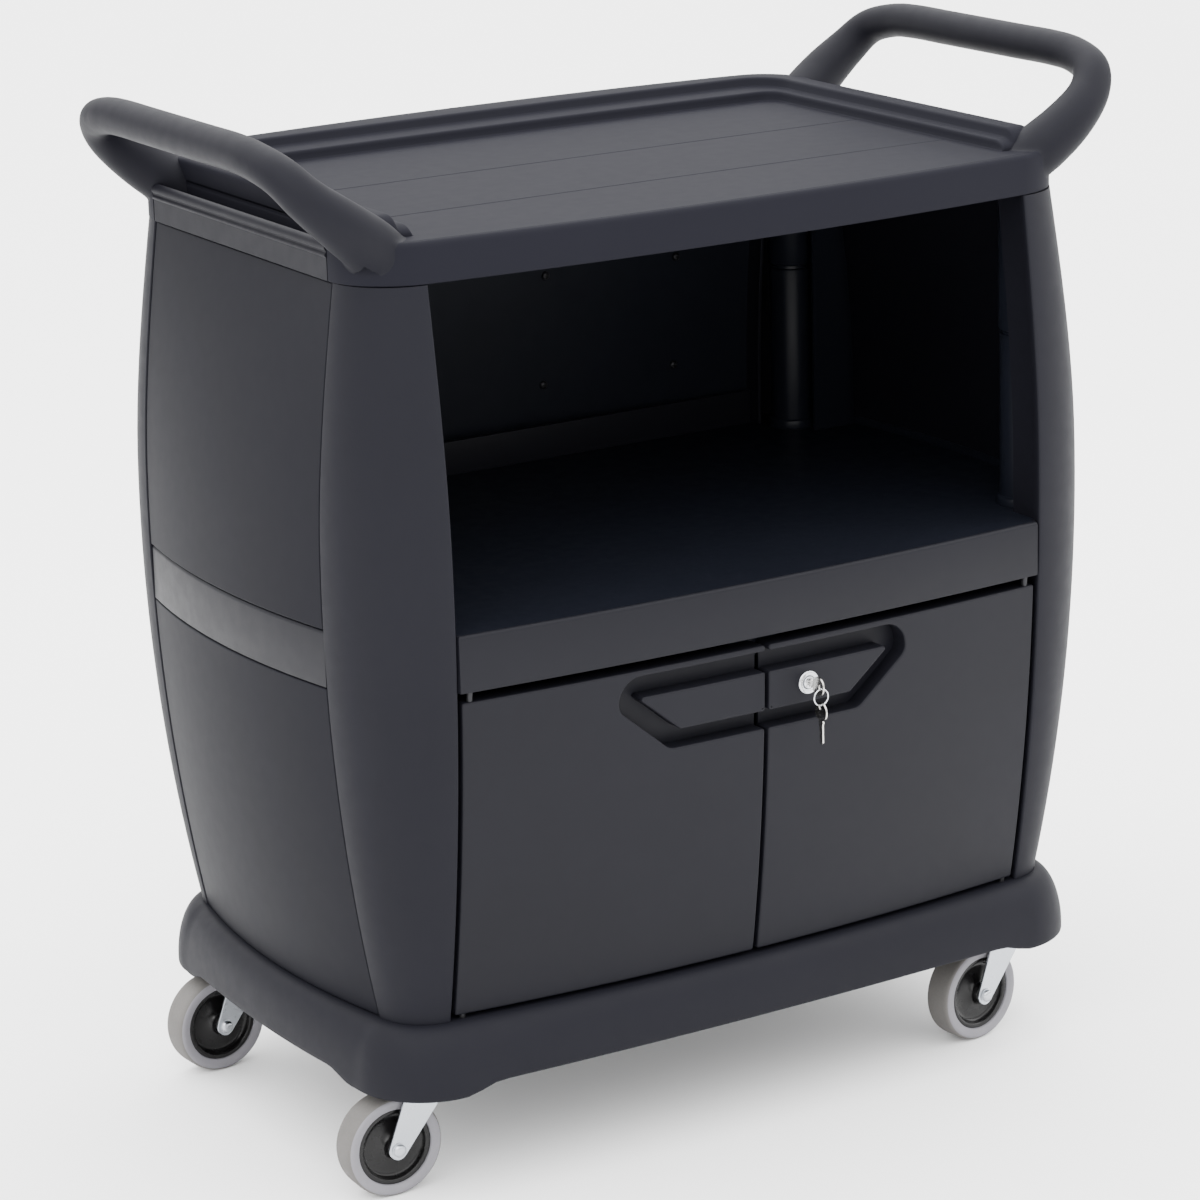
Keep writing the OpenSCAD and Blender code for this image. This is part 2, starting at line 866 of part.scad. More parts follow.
module tyre(c) {
    shoulder = 5;
    color(rubber)
        caster_frame(c)
            translate([-trail, 0, wheel_r])
                rotate([90, 0, 0])
                    rotate_extrude()
                        polygon(concat(
                            [[hub_r, tread_half - 2], [hub_r, 2 - tread_half]],
                            [for (a = [-90:15:0]) [wheel_r - shoulder + shoulder * cos(a),
                                                  -tread_half + shoulder + shoulder * sin(a)]],
                            [for (a = [0:15:90]) [wheel_r - shoulder + shoulder * cos(a),
                                                 tread_half - shoulder + shoulder * sin(a)]]
                        ));
}

module caster_bolts() {
    color(steel)
        for (c = CORNERS) {
            caster_bolt_pattern(c, bolt_r, pad_z - plate_thick - 1, pad_z + 18);
            caster_bolt_pattern(c, 6.5, pad_z - plate_thick - 5, pad_z - plate_thick);
        }
}

base_tray();
middle_shelf();
top_deck();
end_apron(-1);  // end_apron_left
end_apron(1);  // end_apron_right
handle(-1);  // handle_left
handle(1);  // handle_right
post(FL);  // post_front_left
post(FR);  // post_front_right
post(RL);  // post_rear_left
post(RR);  // post_rear_right
upright(FL);  // upright_front_left
upright(FR);  // upright_front_right
upright(RL);  // upright_rear_left
upright(RR);  // upright_rear_right
lower_uprights();
end_panel(-1, shelf_z + 1, deck_low_z - 1);  // upper_end_panel_left
end_panel(1, shelf_z + 1, deck_low_z - 1);  // upper_end_panel_right
end_panel(-1, floor_z + 0.5, lip_z - 1);  // lower_end_panel_left
end_panel(1, floor_z + 0.5, lip_z - 1);  // lower_end_panel_right
back_panel(shelf_z + 0.2, deck_low_z + 2);  // upper_back_panel
back_panel(floor_z + 0.2, shelf_z - plate_t - 0.2);  // lower_back_panel
panel_screws();
door_left();
door_right();
hinge_pins(-1);  // hinge_pins_left
hinge_pins(1);  // hinge_pins_right
door_catch();
strike_plate(-1);  // strike_left
strike_plate(1);  // strike_right
lock_body();
lock_nut();
lock_plug();
lock_cam();
door_key();
key_ring();
spare_key();
caster_plate(FL);  // caster_plate_front_left
caster_plate(FR);  // caster_plate_front_right
caster_plate(RL);  // caster_plate_rear_left
caster_plate(RR);  // caster_plate_rear_right
fork(FL);  // fork_front_left
fork(FR);  // fork_front_right
fork(RL);  // fork_rear_left
fork(RR);  // fork_rear_right
axle(FL);  // axle_front_left
axle(FR);  // axle_front_right
axle(RL);  // axle_rear_left
axle(RR);  // axle_rear_right
hub(FL);  // hub_front_left
hub(FR);  // hub_front_right
hub(RL);  // hub_rear_left
hub(RR);  // hub_rear_right
tyre(FL);  // tyre_front_left
tyre(FR);  // tyre_front_right
tyre(RL);  // tyre_rear_left
tyre(RR);  // tyre_rear_right
caster_bolts();
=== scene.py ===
import json
import math

import bmesh
import bpy
import mathutils.geometry as mg
import numpy as np
from mathutils import Matrix, Vector


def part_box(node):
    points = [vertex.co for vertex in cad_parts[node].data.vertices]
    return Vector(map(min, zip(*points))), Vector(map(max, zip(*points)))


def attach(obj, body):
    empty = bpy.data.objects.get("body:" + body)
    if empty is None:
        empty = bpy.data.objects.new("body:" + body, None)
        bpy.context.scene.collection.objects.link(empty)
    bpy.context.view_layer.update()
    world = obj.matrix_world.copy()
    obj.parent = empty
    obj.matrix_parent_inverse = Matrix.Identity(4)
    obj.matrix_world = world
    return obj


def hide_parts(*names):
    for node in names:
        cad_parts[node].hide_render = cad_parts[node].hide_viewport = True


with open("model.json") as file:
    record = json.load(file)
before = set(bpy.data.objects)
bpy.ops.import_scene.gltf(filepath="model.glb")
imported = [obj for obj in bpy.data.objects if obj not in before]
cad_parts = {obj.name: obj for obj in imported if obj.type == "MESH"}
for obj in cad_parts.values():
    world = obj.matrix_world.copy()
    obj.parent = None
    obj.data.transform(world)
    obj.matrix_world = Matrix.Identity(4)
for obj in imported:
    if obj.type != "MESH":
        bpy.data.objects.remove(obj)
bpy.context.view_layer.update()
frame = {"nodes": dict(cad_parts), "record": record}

REC = frame["record"]
PI = math.pi


def mm_box(node):
    lo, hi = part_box(node)
    return lo * 1000, hi * 1000


# ------------------------------------------------------------- sizes in mm, mostly from the frame
POST_LO, POST_HI = mm_box("post_front_right")
CX = POST_LO.x
CY = -POST_HI.y + 18
FLOOR = round(POST_LO.z)
POST_TOP = POST_HI.z
LIP_TOP = POST_TOP + 0.5
DECK_BAND = 39
DECK = LIP_TOP + DECK_BAND
BULGE = POST_HI.x - CX
BULGE_Z = 585
ARC = 2100
SHELF_LO = mm_box("middle_shelf")[0]
LIP = SHELF_LO.z
SHELF_BAND = 55
SHELF = LIP + SHELF_BAND
DECK_HI = mm_box("top_deck")[1]
RIM_H = DECK_HI.z - DECK
DECK_X = 396
DECK_CY = 178
DECK_BOW = 16
RIM_X = 326
RIM_Y = 184
BASE_LO = mm_box("base_tray")[0]
SKIRT = BASE_LO.z
DOOR_LO, DOOR_HI = mm_box("door_right")
GAP = DOOR_LO.x
DOOR_EDGE = DOOR_HI.x
BACK_INSET = 18
BACK_T = 4
COLUMN_X, COLUMN_Y, COLUMN_R = 360, 206, 22.5
CASTER_X, CASTER_Y = 341, 189
BOLT_X, BOLT_Y = 38, 25
NOTCH_X, NOTCH_Y = 366.4, 181
HANDLE_SHIFT = 10
TOP_TUCK = 4.5


def smooth01(t):
    t = min(max(t, 0), 1)
    return t * t * (3 - 2 * t)


def R(z):
    """Plan radius of a post at a height: barrel-shaped, tucked in under the deck."""
    tuck = TOP_TUCK * smooth01((z - 640) / 240)
    return BULGE - ARC + math.sqrt(ARC ** 2 - (z - BULGE_Z) ** 2) - tuck


def fbow(z):
    """How far the front and back bow out at mid-width."""
    return 20 - 15 * (z - FLOOR) / (LIP_TOP - FLOOR)


def ebow(z):
    """How far an end bows out at mid-depth."""
    return 20 - 19 * (max(z - FLOOR, 0) / (LIP_TOP - FLOOR)) ** 3


def face_y(x, z):
    """Y of the doors' front face."""
    return -CY - R(z) + 1.5 - fbow(z) * (1 - (x / CX) ** 2)


# ------------------------------------------------------------- materials
def noise(nt, coord, scale, detail=2.0, rough=0.5):
    n = nt.nodes.new("ShaderNodeTexNoise")
    n.inputs["Scale"].default_value = scale
    n.inputs["Detail"].default_value = detail
    n.inputs["Roughness"].default_value = rough
    nt.links.new(coord, n.inputs["Vector"])
    return n.outputs["Fac"]


def ranged(nt, value, lo, hi, f0=0.35, f1=0.65):
    n = nt.nodes.new("ShaderNodeMapRange")
    n.inputs["From Min"].default_value = f0
    n.inputs["From Max"].default_value = f1
    n.inputs["To Min"].default_value = lo
    n.inputs["To Max"].default_value = hi
    nt.links.new(value, n.inputs["Value"])
    return n.outputs["Result"]


def material(name, colour, rough, spread=0.05, grain=900, bump=0.12, depth=0.0002, mix=0.12,
             metal=0.0, stretch=None, spec=0.5):
    m = bpy.data.materials.new(name)
    m.use_nodes = True
    nt = m.node_tree
    bs = nt.nodes["Principled BSDF"]
    tc = nt.nodes.new("ShaderNodeTexCoord").outputs["Object"]
    if stretch:
        mp = nt.nodes.new("ShaderNodeMapping")
        mp.inputs["Scale"].default_value = stretch
        nt.links.new(tc, mp.inputs["Vector"])
        fine_coord = mp.outputs["Vector"]
    else:
        fine_coord = tc
    broad = noise(nt, tc, 9.0, 3.0)
    fine = noise(nt, fine_coord, grain, 2.0)
    mid = noise(nt, tc, 70.0, 3.0)
    ramp = nt.nodes.new("ShaderNodeMix")
    ramp.data_type = "RGBA"
    ramp.inputs["A"].default_value = [c * (1 - mix) for c in colour] + [1]
    ramp.inputs["B"].default_value = [min(c * (1 + mix), 1) for c in colour] + [1]
    blend = nt.nodes.new("ShaderNodeMath")
    blend.operation = "ADD"
    nt.links.new(ranged(nt, broad, 0, 0.5), blend.inputs[0])
    nt.links.new(ranged(nt, fine, 0, 0.5), blend.inputs[1])
    nt.links.new(blend.outputs[0], ramp.inputs["Factor"])
    nt.links.new(ramp.outputs["Result"], bs.inputs["Base Color"])
    nt.links.new(ranged(nt, mid, rough - spread, rough + spread), bs.inputs["Roughness"])
    bs.inputs["Metallic"].default_value = metal
    bs.inputs["Specular IOR Level"].default_value = spec
    if bump:
        b = nt.nodes.new("ShaderNodeBump")
        b.inputs["Strength"].default_value = bump
        b.inputs["Distance"].default_value = depth
        nt.links.new(fine, b.inputs["Height"])
        nt.links.new(b.outputs["Normal"], bs.inputs["Normal"])
    return m


BODY = material("body_plastic_grained", (0.0058, 0.0058, 0.0084), rough=0.58,
                spread=0.02, grain=1000, bump=0.35, depth=0.00025, mix=0.06, spec=0.08)
DECKM = material("deck_plastic_fine", (0.0080, 0.0080, 0.0112), rough=0.62,
                 spread=0.01, grain=1400, bump=0.15, depth=0.0001, mix=0.03, spec=0.03)
PANEL = material("panel_plastic_satin", (0.0046, 0.0046, 0.0068), rough=0.54,
                 spread=0.01, grain=1500, bump=0.10, depth=0.0001, mix=0.03, spec=0.045)
DOORM = material("door_plastic_grained", (0.0050, 0.0050, 0.0072), rough=0.48,
                 spread=0.02, grain=1100, bump=0.30, depth=0.0002, mix=0.05, spec=0.10)
INNER = material("inner_plastic_black", (0.0050, 0.0058, 0.0090), rough=0.36,
                 spread=0.03, grain=900, bump=0.12, depth=0.0001, mix=0.08, spec=0.12)
# Steel darkened far below zinc: painted shade for the screw heads in the dim back panel and for the
# hinge pins in the dark door gaps.
SHADE_DARKENED_STEEL = material("steel_darkened_painted_shade", (0.02, 0.02, 0.022), rough=0.4,
                     spread=0.05, grain=500, bump=0.05, depth=0.0001, mix=0.1, metal=0.6, spec=0.15)
ZINC = material("zinc_plate", (0.40, 0.42, 0.45), rough=0.30, spread=0.06, grain=300, bump=0.05,
                depth=0.0001, mix=0.05, metal=1.0, stretch=(1, 1, 6))
CHROME = material("lock_chrome_bright", (0.50, 0.51, 0.53), rough=0.16,
                  spread=0.04, grain=500, bump=0.03, depth=0.00005, mix=0.03, metal=1.0)
BRASS = material("key_nickel", (0.46, 0.45, 0.43), rough=0.22,
                 spread=0.05, grain=700, bump=0.05, depth=0.00005, mix=0.06, metal=1.0)
TYRE = material("tyre_side_grey", (0.150, 0.146, 0.160), rough=0.62,
                spread=0.05, grain=600, bump=0.12, depth=0.0002, mix=0.05, spec=0.25)
TREAD = material("tyre_tread_grey", (0.092, 0.087, 0.083), rough=0.70,
                 spread=0.05, grain=500, bump=0.25, depth=0.0003, mix=0.08, spec=0.25)
HUB = material("hub_black_gloss", (0.0040, 0.0038, 0.0040), rough=0.26,
               spread=0.05, grain=500, bump=0.05, depth=0.0001, mix=0.10, spec=0.22)
# Near-black material for thin plates laid over slots and grooves: painted shade for the keyway, the
# screw slots and the key grooves.
SLOT_SHADE = material("slot_groove_painted_shade", (0.0030, 0.0030, 0.0035), rough=0.6,
                spread=0.05, grain=500, bump=0.05, depth=0.0001, mix=0.10, spec=0.2)


# ------------------------------------------------------------- mesh helpers
def add(name, parts, mats, body="root", nodes=(), angle=32, M=None, merge=0.004):
    """One object from several (verts, faces[, material index]) shells given in mm."""
    verts, faces, idx = [], [], []
    for part in parts:
        v, f = part[0], part[1]
        k = part[2] if len(part) > 2 else 0
        base = len(verts)
        verts += [tuple(p) for p in v]
        faces += [tuple(i + base for i in q) for q in f]
        idx += [k] * len(f) if isinstance(k, int) else list(k)
    me = bpy.data.meshes.new(name)
    me.from_pydata([(x * 0.001, y * 0.001, z * 0.001) for x, y, z in verts], [], faces)
    mats = mats if isinstance(mats, (list, tuple)) else [mats]
    for m in mats:
        me.materials.append(m)
    me.polygons.foreach_set("material_index", idx)
    bm = bmesh.new()
    bm.from_mesh(me)
    bmesh.ops.remove_doubles(bm, verts=bm.verts, dist=merge * 0.001)
    bmesh.ops.dissolve_degenerate(bm, dist=1e-7, edges=bm.edges)
    bmesh.ops.recalc_face_normals(bm, faces=bm.faces)
    bm.to_mesh(me)
    bm.free()
    if M is not None:
        me.transform(M)
    ob = bpy.data.objects.new(name, me)
    bpy.context.scene.collection.objects.link(ob)
    finish_mesh(ob, angle)
    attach(ob, body)
    if nodes:
        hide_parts(*([nodes] if isinstance(nodes, str) else nodes))
    return ob


def bake(ob):
    dg = bpy.context.evaluated_depsgraph_get()
    me = bpy.data.meshes.new_from_object(ob.evaluated_get(dg))
    ob.modifiers.clear()
    old = ob.data
    ob.data = me
    me.name = ob.name
    bpy.data.meshes.remove(old)


def finish_mesh(ob, angle):
    ob.data.shade_smooth()
    ob.data.set_sharp_from_angle(angle=math.radians(angle))


def loft(rings, closed=True, caps=(True, True), loop=False):
    n, m = len(rings[0]), len(rings)
    v = [p for r in rings for p in r]
    f = []
    for i in range(m if loop else m - 1):
        j = (i + 1) % m
        for k in range(n if closed else n - 1):
            q = (k + 1) % n
            f.append((i * n + k, i * n + q, j * n + q, j * n + k))
    if not loop and caps[0]:
        f.append(tuple(range(n - 1, -1, -1)))
    if not loop and caps[1]:
        f.append(tuple((m - 1) * n + k for k in range(n)))
    return v, f


def outline(cx, cy, r, front, end, nb=14, na=16):
    q = [(cx + r + end * (1 - (i / nb) ** 2), cy * i / nb) for i in range(nb)]
    q += [(cx + r * math.cos(PI / 2 * i / na), cy + r * math.sin(PI / 2 * i / na))
          for i in range(na + 1)]
    q += [(cx * i / nb, cy + r + front * (1 - (i / nb) ** 2)) for i in range(nb - 1, -1, -1)]
    n = len(q)
    return (q + [(-x, y) for x, y in q[n - 2::-1]] + [(-x, -y) for x, y in q[1:]]
            + [(x, -y) for x, y in q[n - 2:0:-1]])


def arc(cx, cy, r, a0, a1, n):
    """Points along a circle's arc, both ends included."""
    turn = [a0 + (a1 - a0) * k / n for k in range(n + 1)]
    return [(cx + r * math.cos(a), cy + r * math.sin(a)) for a in turn]


def offset(pts, d):
    """The closed counter-clockwise loop moved inwards by d."""
    p = np.array(pts, float)
    u = p - np.roll(p, 1, 0)
    u /= np.maximum(np.linalg.norm(u, axis=1, keepdims=True), 1e-9)
    w = np.roll(u, -1, 0)
    n1 = np.stack([-u[:, 1], u[:, 0]], 1)
    n2 = np.stack([-w[:, 1], w[:, 0]], 1)
    m = n1 + n2
    m /= np.maximum(np.linalg.norm(m, axis=1, keepdims=True), 1e-9)
    k = np.maximum((m * n1).sum(1, keepdims=True), 0.4)
    return [tuple(q) for q in p + m * d / k]


def rounded(pts, radii, n=7):
    """Closed loop with its corners rounded."""
    out, count = [], len(pts)
    for i in range(count):
        r = radii[i] if isinstance(radii, (list, tuple)) else radii
        a, b, c = Vector(pts[i - 1]), Vector(pts[i]), Vector(pts[(i + 1) % count])
        if r <= 0:
            out.append(tuple(b))
            continue
        u, v = (a - b).normalized(), (c - b).normalized()
        ang = u.angle(v)
        if ang > PI - 0.01:
            out.append(tuple(b))
            continue
        t = r / math.tan(ang / 2)
        mid = b + (u + v).normalized() * (r / math.sin(ang / 2))
        s, e = b + u * t - mid, b + v * t - mid
        a0, a1 = math.atan2(s.y, s.x), math.atan2(e.y, e.x)
        da = (a1 - a0 + PI) % (2 * PI) - PI
        out += [(mid.x + r * math.cos(a0 + da * k / n), mid.y + r * math.sin(a0 + da * k / n))
                for k in range(n + 1)]
    return out


def dense(pts, step, closed=True):
    out = []
    n = len(pts)
    for i in range(n if closed else n - 1):
        a, b = Vector(pts[i]), Vector(pts[(i + 1) % n])
        k = max(1, math.ceil((b - a).length / step))
        out += [tuple(a.lerp(b, j / k)) for j in range(k)]
    if not closed:
        out.append(tuple(pts[-1]))
    return out


def inside(px, py, loop):
    q = np.array(loop)
    r = np.roll(q, -1, 0)
    hit = np.zeros(len(px), bool)
    for (x0, y0), (x1, y1) in zip(q, r):
        if y0 == y1:
            continue
        c = ((y0 > py) != (y1 > py)) & (px < (x1 - x0) * (py - y0) / (y1 - y0) + x0)
        hit ^= c
    return hit


def near(px, py, loop, d):
    q = np.array(loop)
    ok = np.ones(len(px), bool)
    for i in range(0, len(q)):
        ok &= (px - q[i, 0]) ** 2 + (py - q[i, 1]) ** 2 > d * d
    return ok


def fill(loop, holes=(), spacing=None):
    """Triangles that fill a loop and leave its holes open."""
    loops = [list(loop)] + [list(h) for h in holes]
    pts, edges = [], []
    for lp in loops:
        b = len(pts)
        pts += lp
        edges += [(b + i, b + (i + 1) % len(lp)) for i in range(len(lp))]
    if spacing:
        a = np.array(loop)
        lo, hi = a.min(0), a.max(0)
        gx, gy = np.meshgrid(np.arange(lo[0] + spacing / 2, hi[0], spacing),
                             np.arange(lo[1] + spacing / 2, hi[1], spacing))
        gx, gy = gx.ravel(), gy.ravel()
        ok = inside(gx, gy, loop)
        for lp in loops:
            ok &= near(gx, gy, lp, spacing * 0.45)
        for h in holes:
            ok &= ~inside(gx, gy, h)
        pts += list(zip(gx[ok].tolist(), gy[ok].tolist()))
    v, _, f, _, _, _ = mg.delaunay_2d_cdt([Vector(p) for p in pts], edges, [], 0, 1e-6)
    v = [tuple(p) for p in v]
    cx = np.array([sum(v[i][0] for i in t) / 3 for t in f])
    cy = np.array([sum(v[i][1] for i in t) / 3 for t in f])
    ok = inside(cx, cy, loops[0])
    for h in loops[1:]:
        ok &= ~inside(cx, cy, h)
    return v, [tuple(t) for t, k in zip(f, ok) if k]


def raised(loop, r, depth, surf, holes=(), nr=5, spacing=14):
    """A raised plate on a curved face: rounded edge, side wall and a filled face."""
    parts = []
    rings = [[(x, surf(x, z) + depth, z) for x, z in loop]]
    for j in range(nr + 1):
        a = PI / 2 * j / nr
        o = offset(loop, r * (1 - math.cos(a)))
        rings.append([(x, surf(x, z) + r * (1 - math.sin(a)), z) for x, z in o])
    flat = offset(loop, r + 0.7)
    rings.append([(x, surf(x, z), z) for x, z in flat])
    parts.append(loft(rings, caps=(False, False)))
    for h in holes:
        parts.append(loft([[(x, surf(x, z), z) for x, z in h],
                           [(x, surf(x, z) + depth, z) for x, z in h]], caps=(False, False)))
    v, f = fill(flat, holes, spacing)
    parts.append(([(x, surf(x, z), z) for x, z in v], f))
    return parts


def lathe(profile, n=96, closed=False):
    """Turned about the local Z axis; profile points are (radius, height)."""
    rings = [[(r * math.cos(2 * PI * k / n), r * math.sin(2 * PI * k / n), h) for k in range(n)]
             for r, h in profile]
    return loft(rings, caps=(False, False), loop=closed)


def box(lo, hi):
    x0, y0, z0 = lo
    x1, y1, z1 = hi
    v = [(x0, y0, z0), (x1, y0, z0), (x1, y1, z0), (x0, y1, z0),
         (x0, y0, z1), (x1, y0, z1), (x1, y1, z1), (x0, y1, z1)]
    f = [(0, 3, 2, 1), (4, 5, 6, 7), (0, 1, 5, 4), (1, 2, 6, 5), (2, 3, 7, 6), (3, 0, 4, 7)]
    return v, f


def soft_box(lo, hi, r=1.0, n=3):
    """Box with rounded upright and level edges."""
    loop = rounded([(lo[0], lo[1]), (hi[0], lo[1]), (hi[0], hi[1]), (lo[0], hi[1])], r * 1.6, n + 1)
    low = [[(x, y, lo[2]) for x, y in offset(loop, r + 0.3)]]
    for j in range(n + 1):
        a = PI / 2 * j / n
        low.append([(x, y, lo[2] + r * (1 - math.cos(a)))
                    for x, y in offset(loop, r * (1 - math.sin(a)))])
    high = []
    for j in range(n + 1):
        a = PI / 2 * j / n
        high.append([(x, y, hi[2] - r * (1 - math.sin(a)))
                     for x, y in offset(loop, r * (1 - math.cos(a)))])
    high.append([(x, y, hi[2]) for x, y in offset(loop, r + 0.3)])
    return loft(low + high)


def flip(parts, sx, sy):
    """Mirror copies of shells into another corner."""
    out = []
    for part in parts:
        v = [(x * sx, y * sy, z) for x, y, z in part[0]]
        out.append((v,) + tuple(part[1:]))
    return out


SIDES = {"front_left": (-1, -1), "front_right": (1, -1), "rear_left": (-1, 1), "rear_right": (1, 1)}


# ------------------------------------------------------------- posts
def post_parts():
    z0, z1, steps = POST_LO.z, POST_TOP, 30
    zs = [z0 + (z1 - z0) * i / steps for i in range(steps + 1)]
    skin, lap, fin = [], [], []
    for z in zs:
        r = R(z)
        w = 4
        loop = []
        e = 1.4
        loop += [(CX + r - e * (1 - math.cos(PI / 2 * k / 4)),
                  CY + 0.15 + e * (1 - math.sin(PI / 2 * k / 4))) for k in (4, 3, 2, 1, 0)]
        n = 30
        a0, a1 = 2.0 / r, PI / 2 - 2.2 / r
        loop += arc(CX, CY, r, a0, a1, n)
        e = 2.0
        loop += [(CX + 0.2 + e * (1 - math.cos(PI / 2 * k / 5)),
                  CY + r - e * (1 - math.sin(PI / 2 * k / 5))) for k in (5, 4, 3, 2, 1, 0)][1:]
        loop += [(CX + 0.5, CY + r - 8), (CX + 1.4, CY + r - 10), (CX + 1.4, CY + r - 44.4),
                 (CX + 2, CY + r - 45), (CX + 4.2, CY + r - 45), (CX + 4.8, CY + r - 44.4),
                 (CX + 4.8, CY + r - w - 1)]
        ri = r - w
        b0, b1 = PI / 2 - 7.0 / ri, 2.0 / ri
        loop += arc(CX, CY, ri, b0, b1, n)
        loop += [(CX + ri, CY + 0.15)]
        skin.append([(x, y, z) for x, y in loop])
        lap.append([(x, y, z) for x, y in [(CX + r - 10, 166), (CX + r - 6.6, 166),
                                           (CX + r - 6.6, CY + 3), (CX + r - 10, CY + 3)]])
        fin.append([(x, y, z) for x, y in [(362, 166), (CX + r - 9, 166), (CX + r - 9, 169.4),
                                           (362, 169.4)]])
    bridge = [[(x, y, p[0][2]) for x, y in [(p[0][0], CY + 0.3), (p[0][0] + 9, CY + 0.3),
                                            (p[0][0] + 9, CY + 1.8), (p[0][0], CY + 1.8)]]
                                            for p in lap]
    return [loft(skin), loft(lap) + (1,), loft(fin) + (1,), loft(bridge) + (1,)]


POST = post_parts()
for name, (sx, sy) in SIDES.items():
    add("post_skin_" + name, flip(POST, sx, sy), [BODY, INNER], "root", "post_" + name,
        28)


# ------------------------------------------------------------- barrel panels
def sheet_parts(z0, z1, half, axis_far, bow, width_axis, inset, t, edge=1.2, nz=28, nw=24):
    """Curved panel: pos(u, z, d) gives its skin set in by d, u runs across."""
    def skin(u, z, d):
        far = axis_far + R(z) - inset - d + bow(z) * (1 - (u / width_axis) ** 2)
        return far

    us = [-half + 2 * half * i / nw for i in range(nw + 1)]
    zs = [z0 + (z1 - z0) * i / nz for i in range(nz + 1)]
    loop = [(u, z0) for u in us[:-1]] + [(half, z) for z in zs[:-1]] + \
           [(u, z1) for u in us[:0:-1]] + [(-half, z) for z in zs[:0:-1]]
    rings = [[(u, skin(u, z, t), z) for u, z in loop], [(u, skin(u, z, edge), z) for u, z in loop]]
    for j in range(1, 6):
        a = PI / 2 * j / 5
        o = offset(loop, edge * (1 - math.cos(a)))
        rings.append([(u, skin(u, z, edge * (1 - math.sin(a))), z) for u, z in o])
    inner = offset(loop, edge + 0.8)
    rings.append([(u, skin(u, z, 0), z) for u, z in inner])
    side = loft(rings, caps=(False, False))
    gu = [inner[0][0] + (inner[nw][0] - inner[0][0]) * i / nw for i in range(nw + 1)]
    gz = [inner[0][1] + (inner[nw + nz][1] - inner[0][1]) * i / nz for i in range(nz + 1)]
    v = [(u, skin(u, z, 0), z) for z in gz for u in gu]
    f = [(j * (nw + 1) + i, j * (nw + 1) + i + 1, (j + 1) * (nw + 1) + i + 1,
          (j + 1) * (nw + 1) + i) for j in range(nz) for i in range(nw)]
    vb = [(u, skin(u, z, t), z) for z in zs for u in us]
    return [side, (v, f), (vb, list(f))]


def turned(parts, how):
    return [([how(*p) for p in part[0]],) + tuple(part[1:]) for part in parts]


for side, s in (("left", -1), ("right", 1)):
    for level, z0, z1 in (("upper", SHELF + 1, LIP_TOP - 1), ("lower", FLOOR + 0.5, LIP - 1)):
        p = sheet_parts(z0, z1, CY - 1.2, CX, ebow, CY, 0.8, 4, 1.3)
        p = turned(p, lambda u, d, z: (s * d, u, z))
        add(f"end_panel_{level}_{side}", p, PANEL, "root", f"{level}_end_panel_{side}",
            40, merge=0.05)

for level, z0, z1 in (("upper", SHELF + 0.2, LIP_TOP + 2), ("lower", FLOOR + 0.2, SHELF - 10.2)):
    p = sheet_parts(z0, z1, 331.2, CY, fbow, CX, BACK_INSET, BACK_T, 0.8)
    p = turned(p, lambda u, d, z: (u, d, z))
    add(f"back_panel_{level}", p, INNER, "root", f"{level}_back_panel", 40,
        merge=0.05)


def back_y(x, z):
    return CY + R(z) - BACK_INSET - BACK_T + fbow(z) * (1 - (x / CX) ** 2)


places = [(x, z) for x in (-240, -80, 80, 240) for z in (640, 760, 860)]
places += [(x, z) for x in (-240, 0, 240) for z in (230, 460)]
screws = []
for x, z in places:
    head = [(0.0, 2.6), (2.0, 2.5), (3.6, 1.9), (4.4, 0.9), (4.6, 0.0), (4.4, -0.3), (0.0, -0.3)]
    v, f = lathe(head, 28)
    y = back_y(x, z) - 0.4
    screws.append(([(x + a, y - c, z + b) for a, b, c in v], f))
    # Each slot is a thin dark cross standing just proud of the head: painted shade for the screw
    # slot.
    for q in (0, 1):
        w = (2.6, 0.45) if q else (0.45, 2.6)
        screws.append(box((x - w[0], y - 2.75, z - w[1]), (x + w[0], y - 2.2, z + w[1])) + (1,))
# Heads in darkened steel: painted shade, so the heads read as shaded dimples.
add("back_screw_heads", screws, [SHADE_DARKENED_STEEL, SLOT_SHADE], "root", "panel_screws", 40)

# ------------------------------------------------------------- base tray
SK_TOP = R(FLOOR)
FLARE = 28.5


def skirt_r(z):
    """Plan radius of the base skirt, which flares to its bottom edge."""
    q = (max(z, SKIRT + 5) - SKIRT - 5) / (FLOOR - SKIRT - 5)
    return SK_TOP + FLARE * math.sqrt(max(0.0, 1 - q * q))


def skirt_bottom(x, y):
    rise = 9.5
    a = smooth01((306 + 26 - abs(x)) / 40) if abs(y) > 200 else 0
    b = smooth01((148 + 26 - abs(y)) / 40) if abs(x) > 350 else 0
    return SKIRT + rise * max(a, b)


def base_ring(t, inset, dz=0.0):
    """t is 0 at the skirt's bottom edge and 1 at the cabinet floor."""
    ring = []
    ref = outline(CX, CY, SK_TOP + FLARE, fbow(FLOOR) - 13, ebow(FLOOR) - 10, 22, 18)
    n = len(ref)
    zb = [skirt_bottom(*p) for p in ref]
    cache = {}
    for k in range(n):
        z = zb[k] + (FLOOR - zb[k]) * t
        key = round(z, 4)
        if key not in cache:
            tt = (z - SKIRT) / (FLOOR - SKIRT)
            cache[key] = offset(outline(CX, CY, skirt_r(z), fbow(FLOOR) - 13 * (1 - tt),
                                        ebow(FLOOR) - 10 * (1 - tt), 22, 18), inset)
        x, y = cache[key][k]
        ring.append((x, y, z + dz))
    return ring


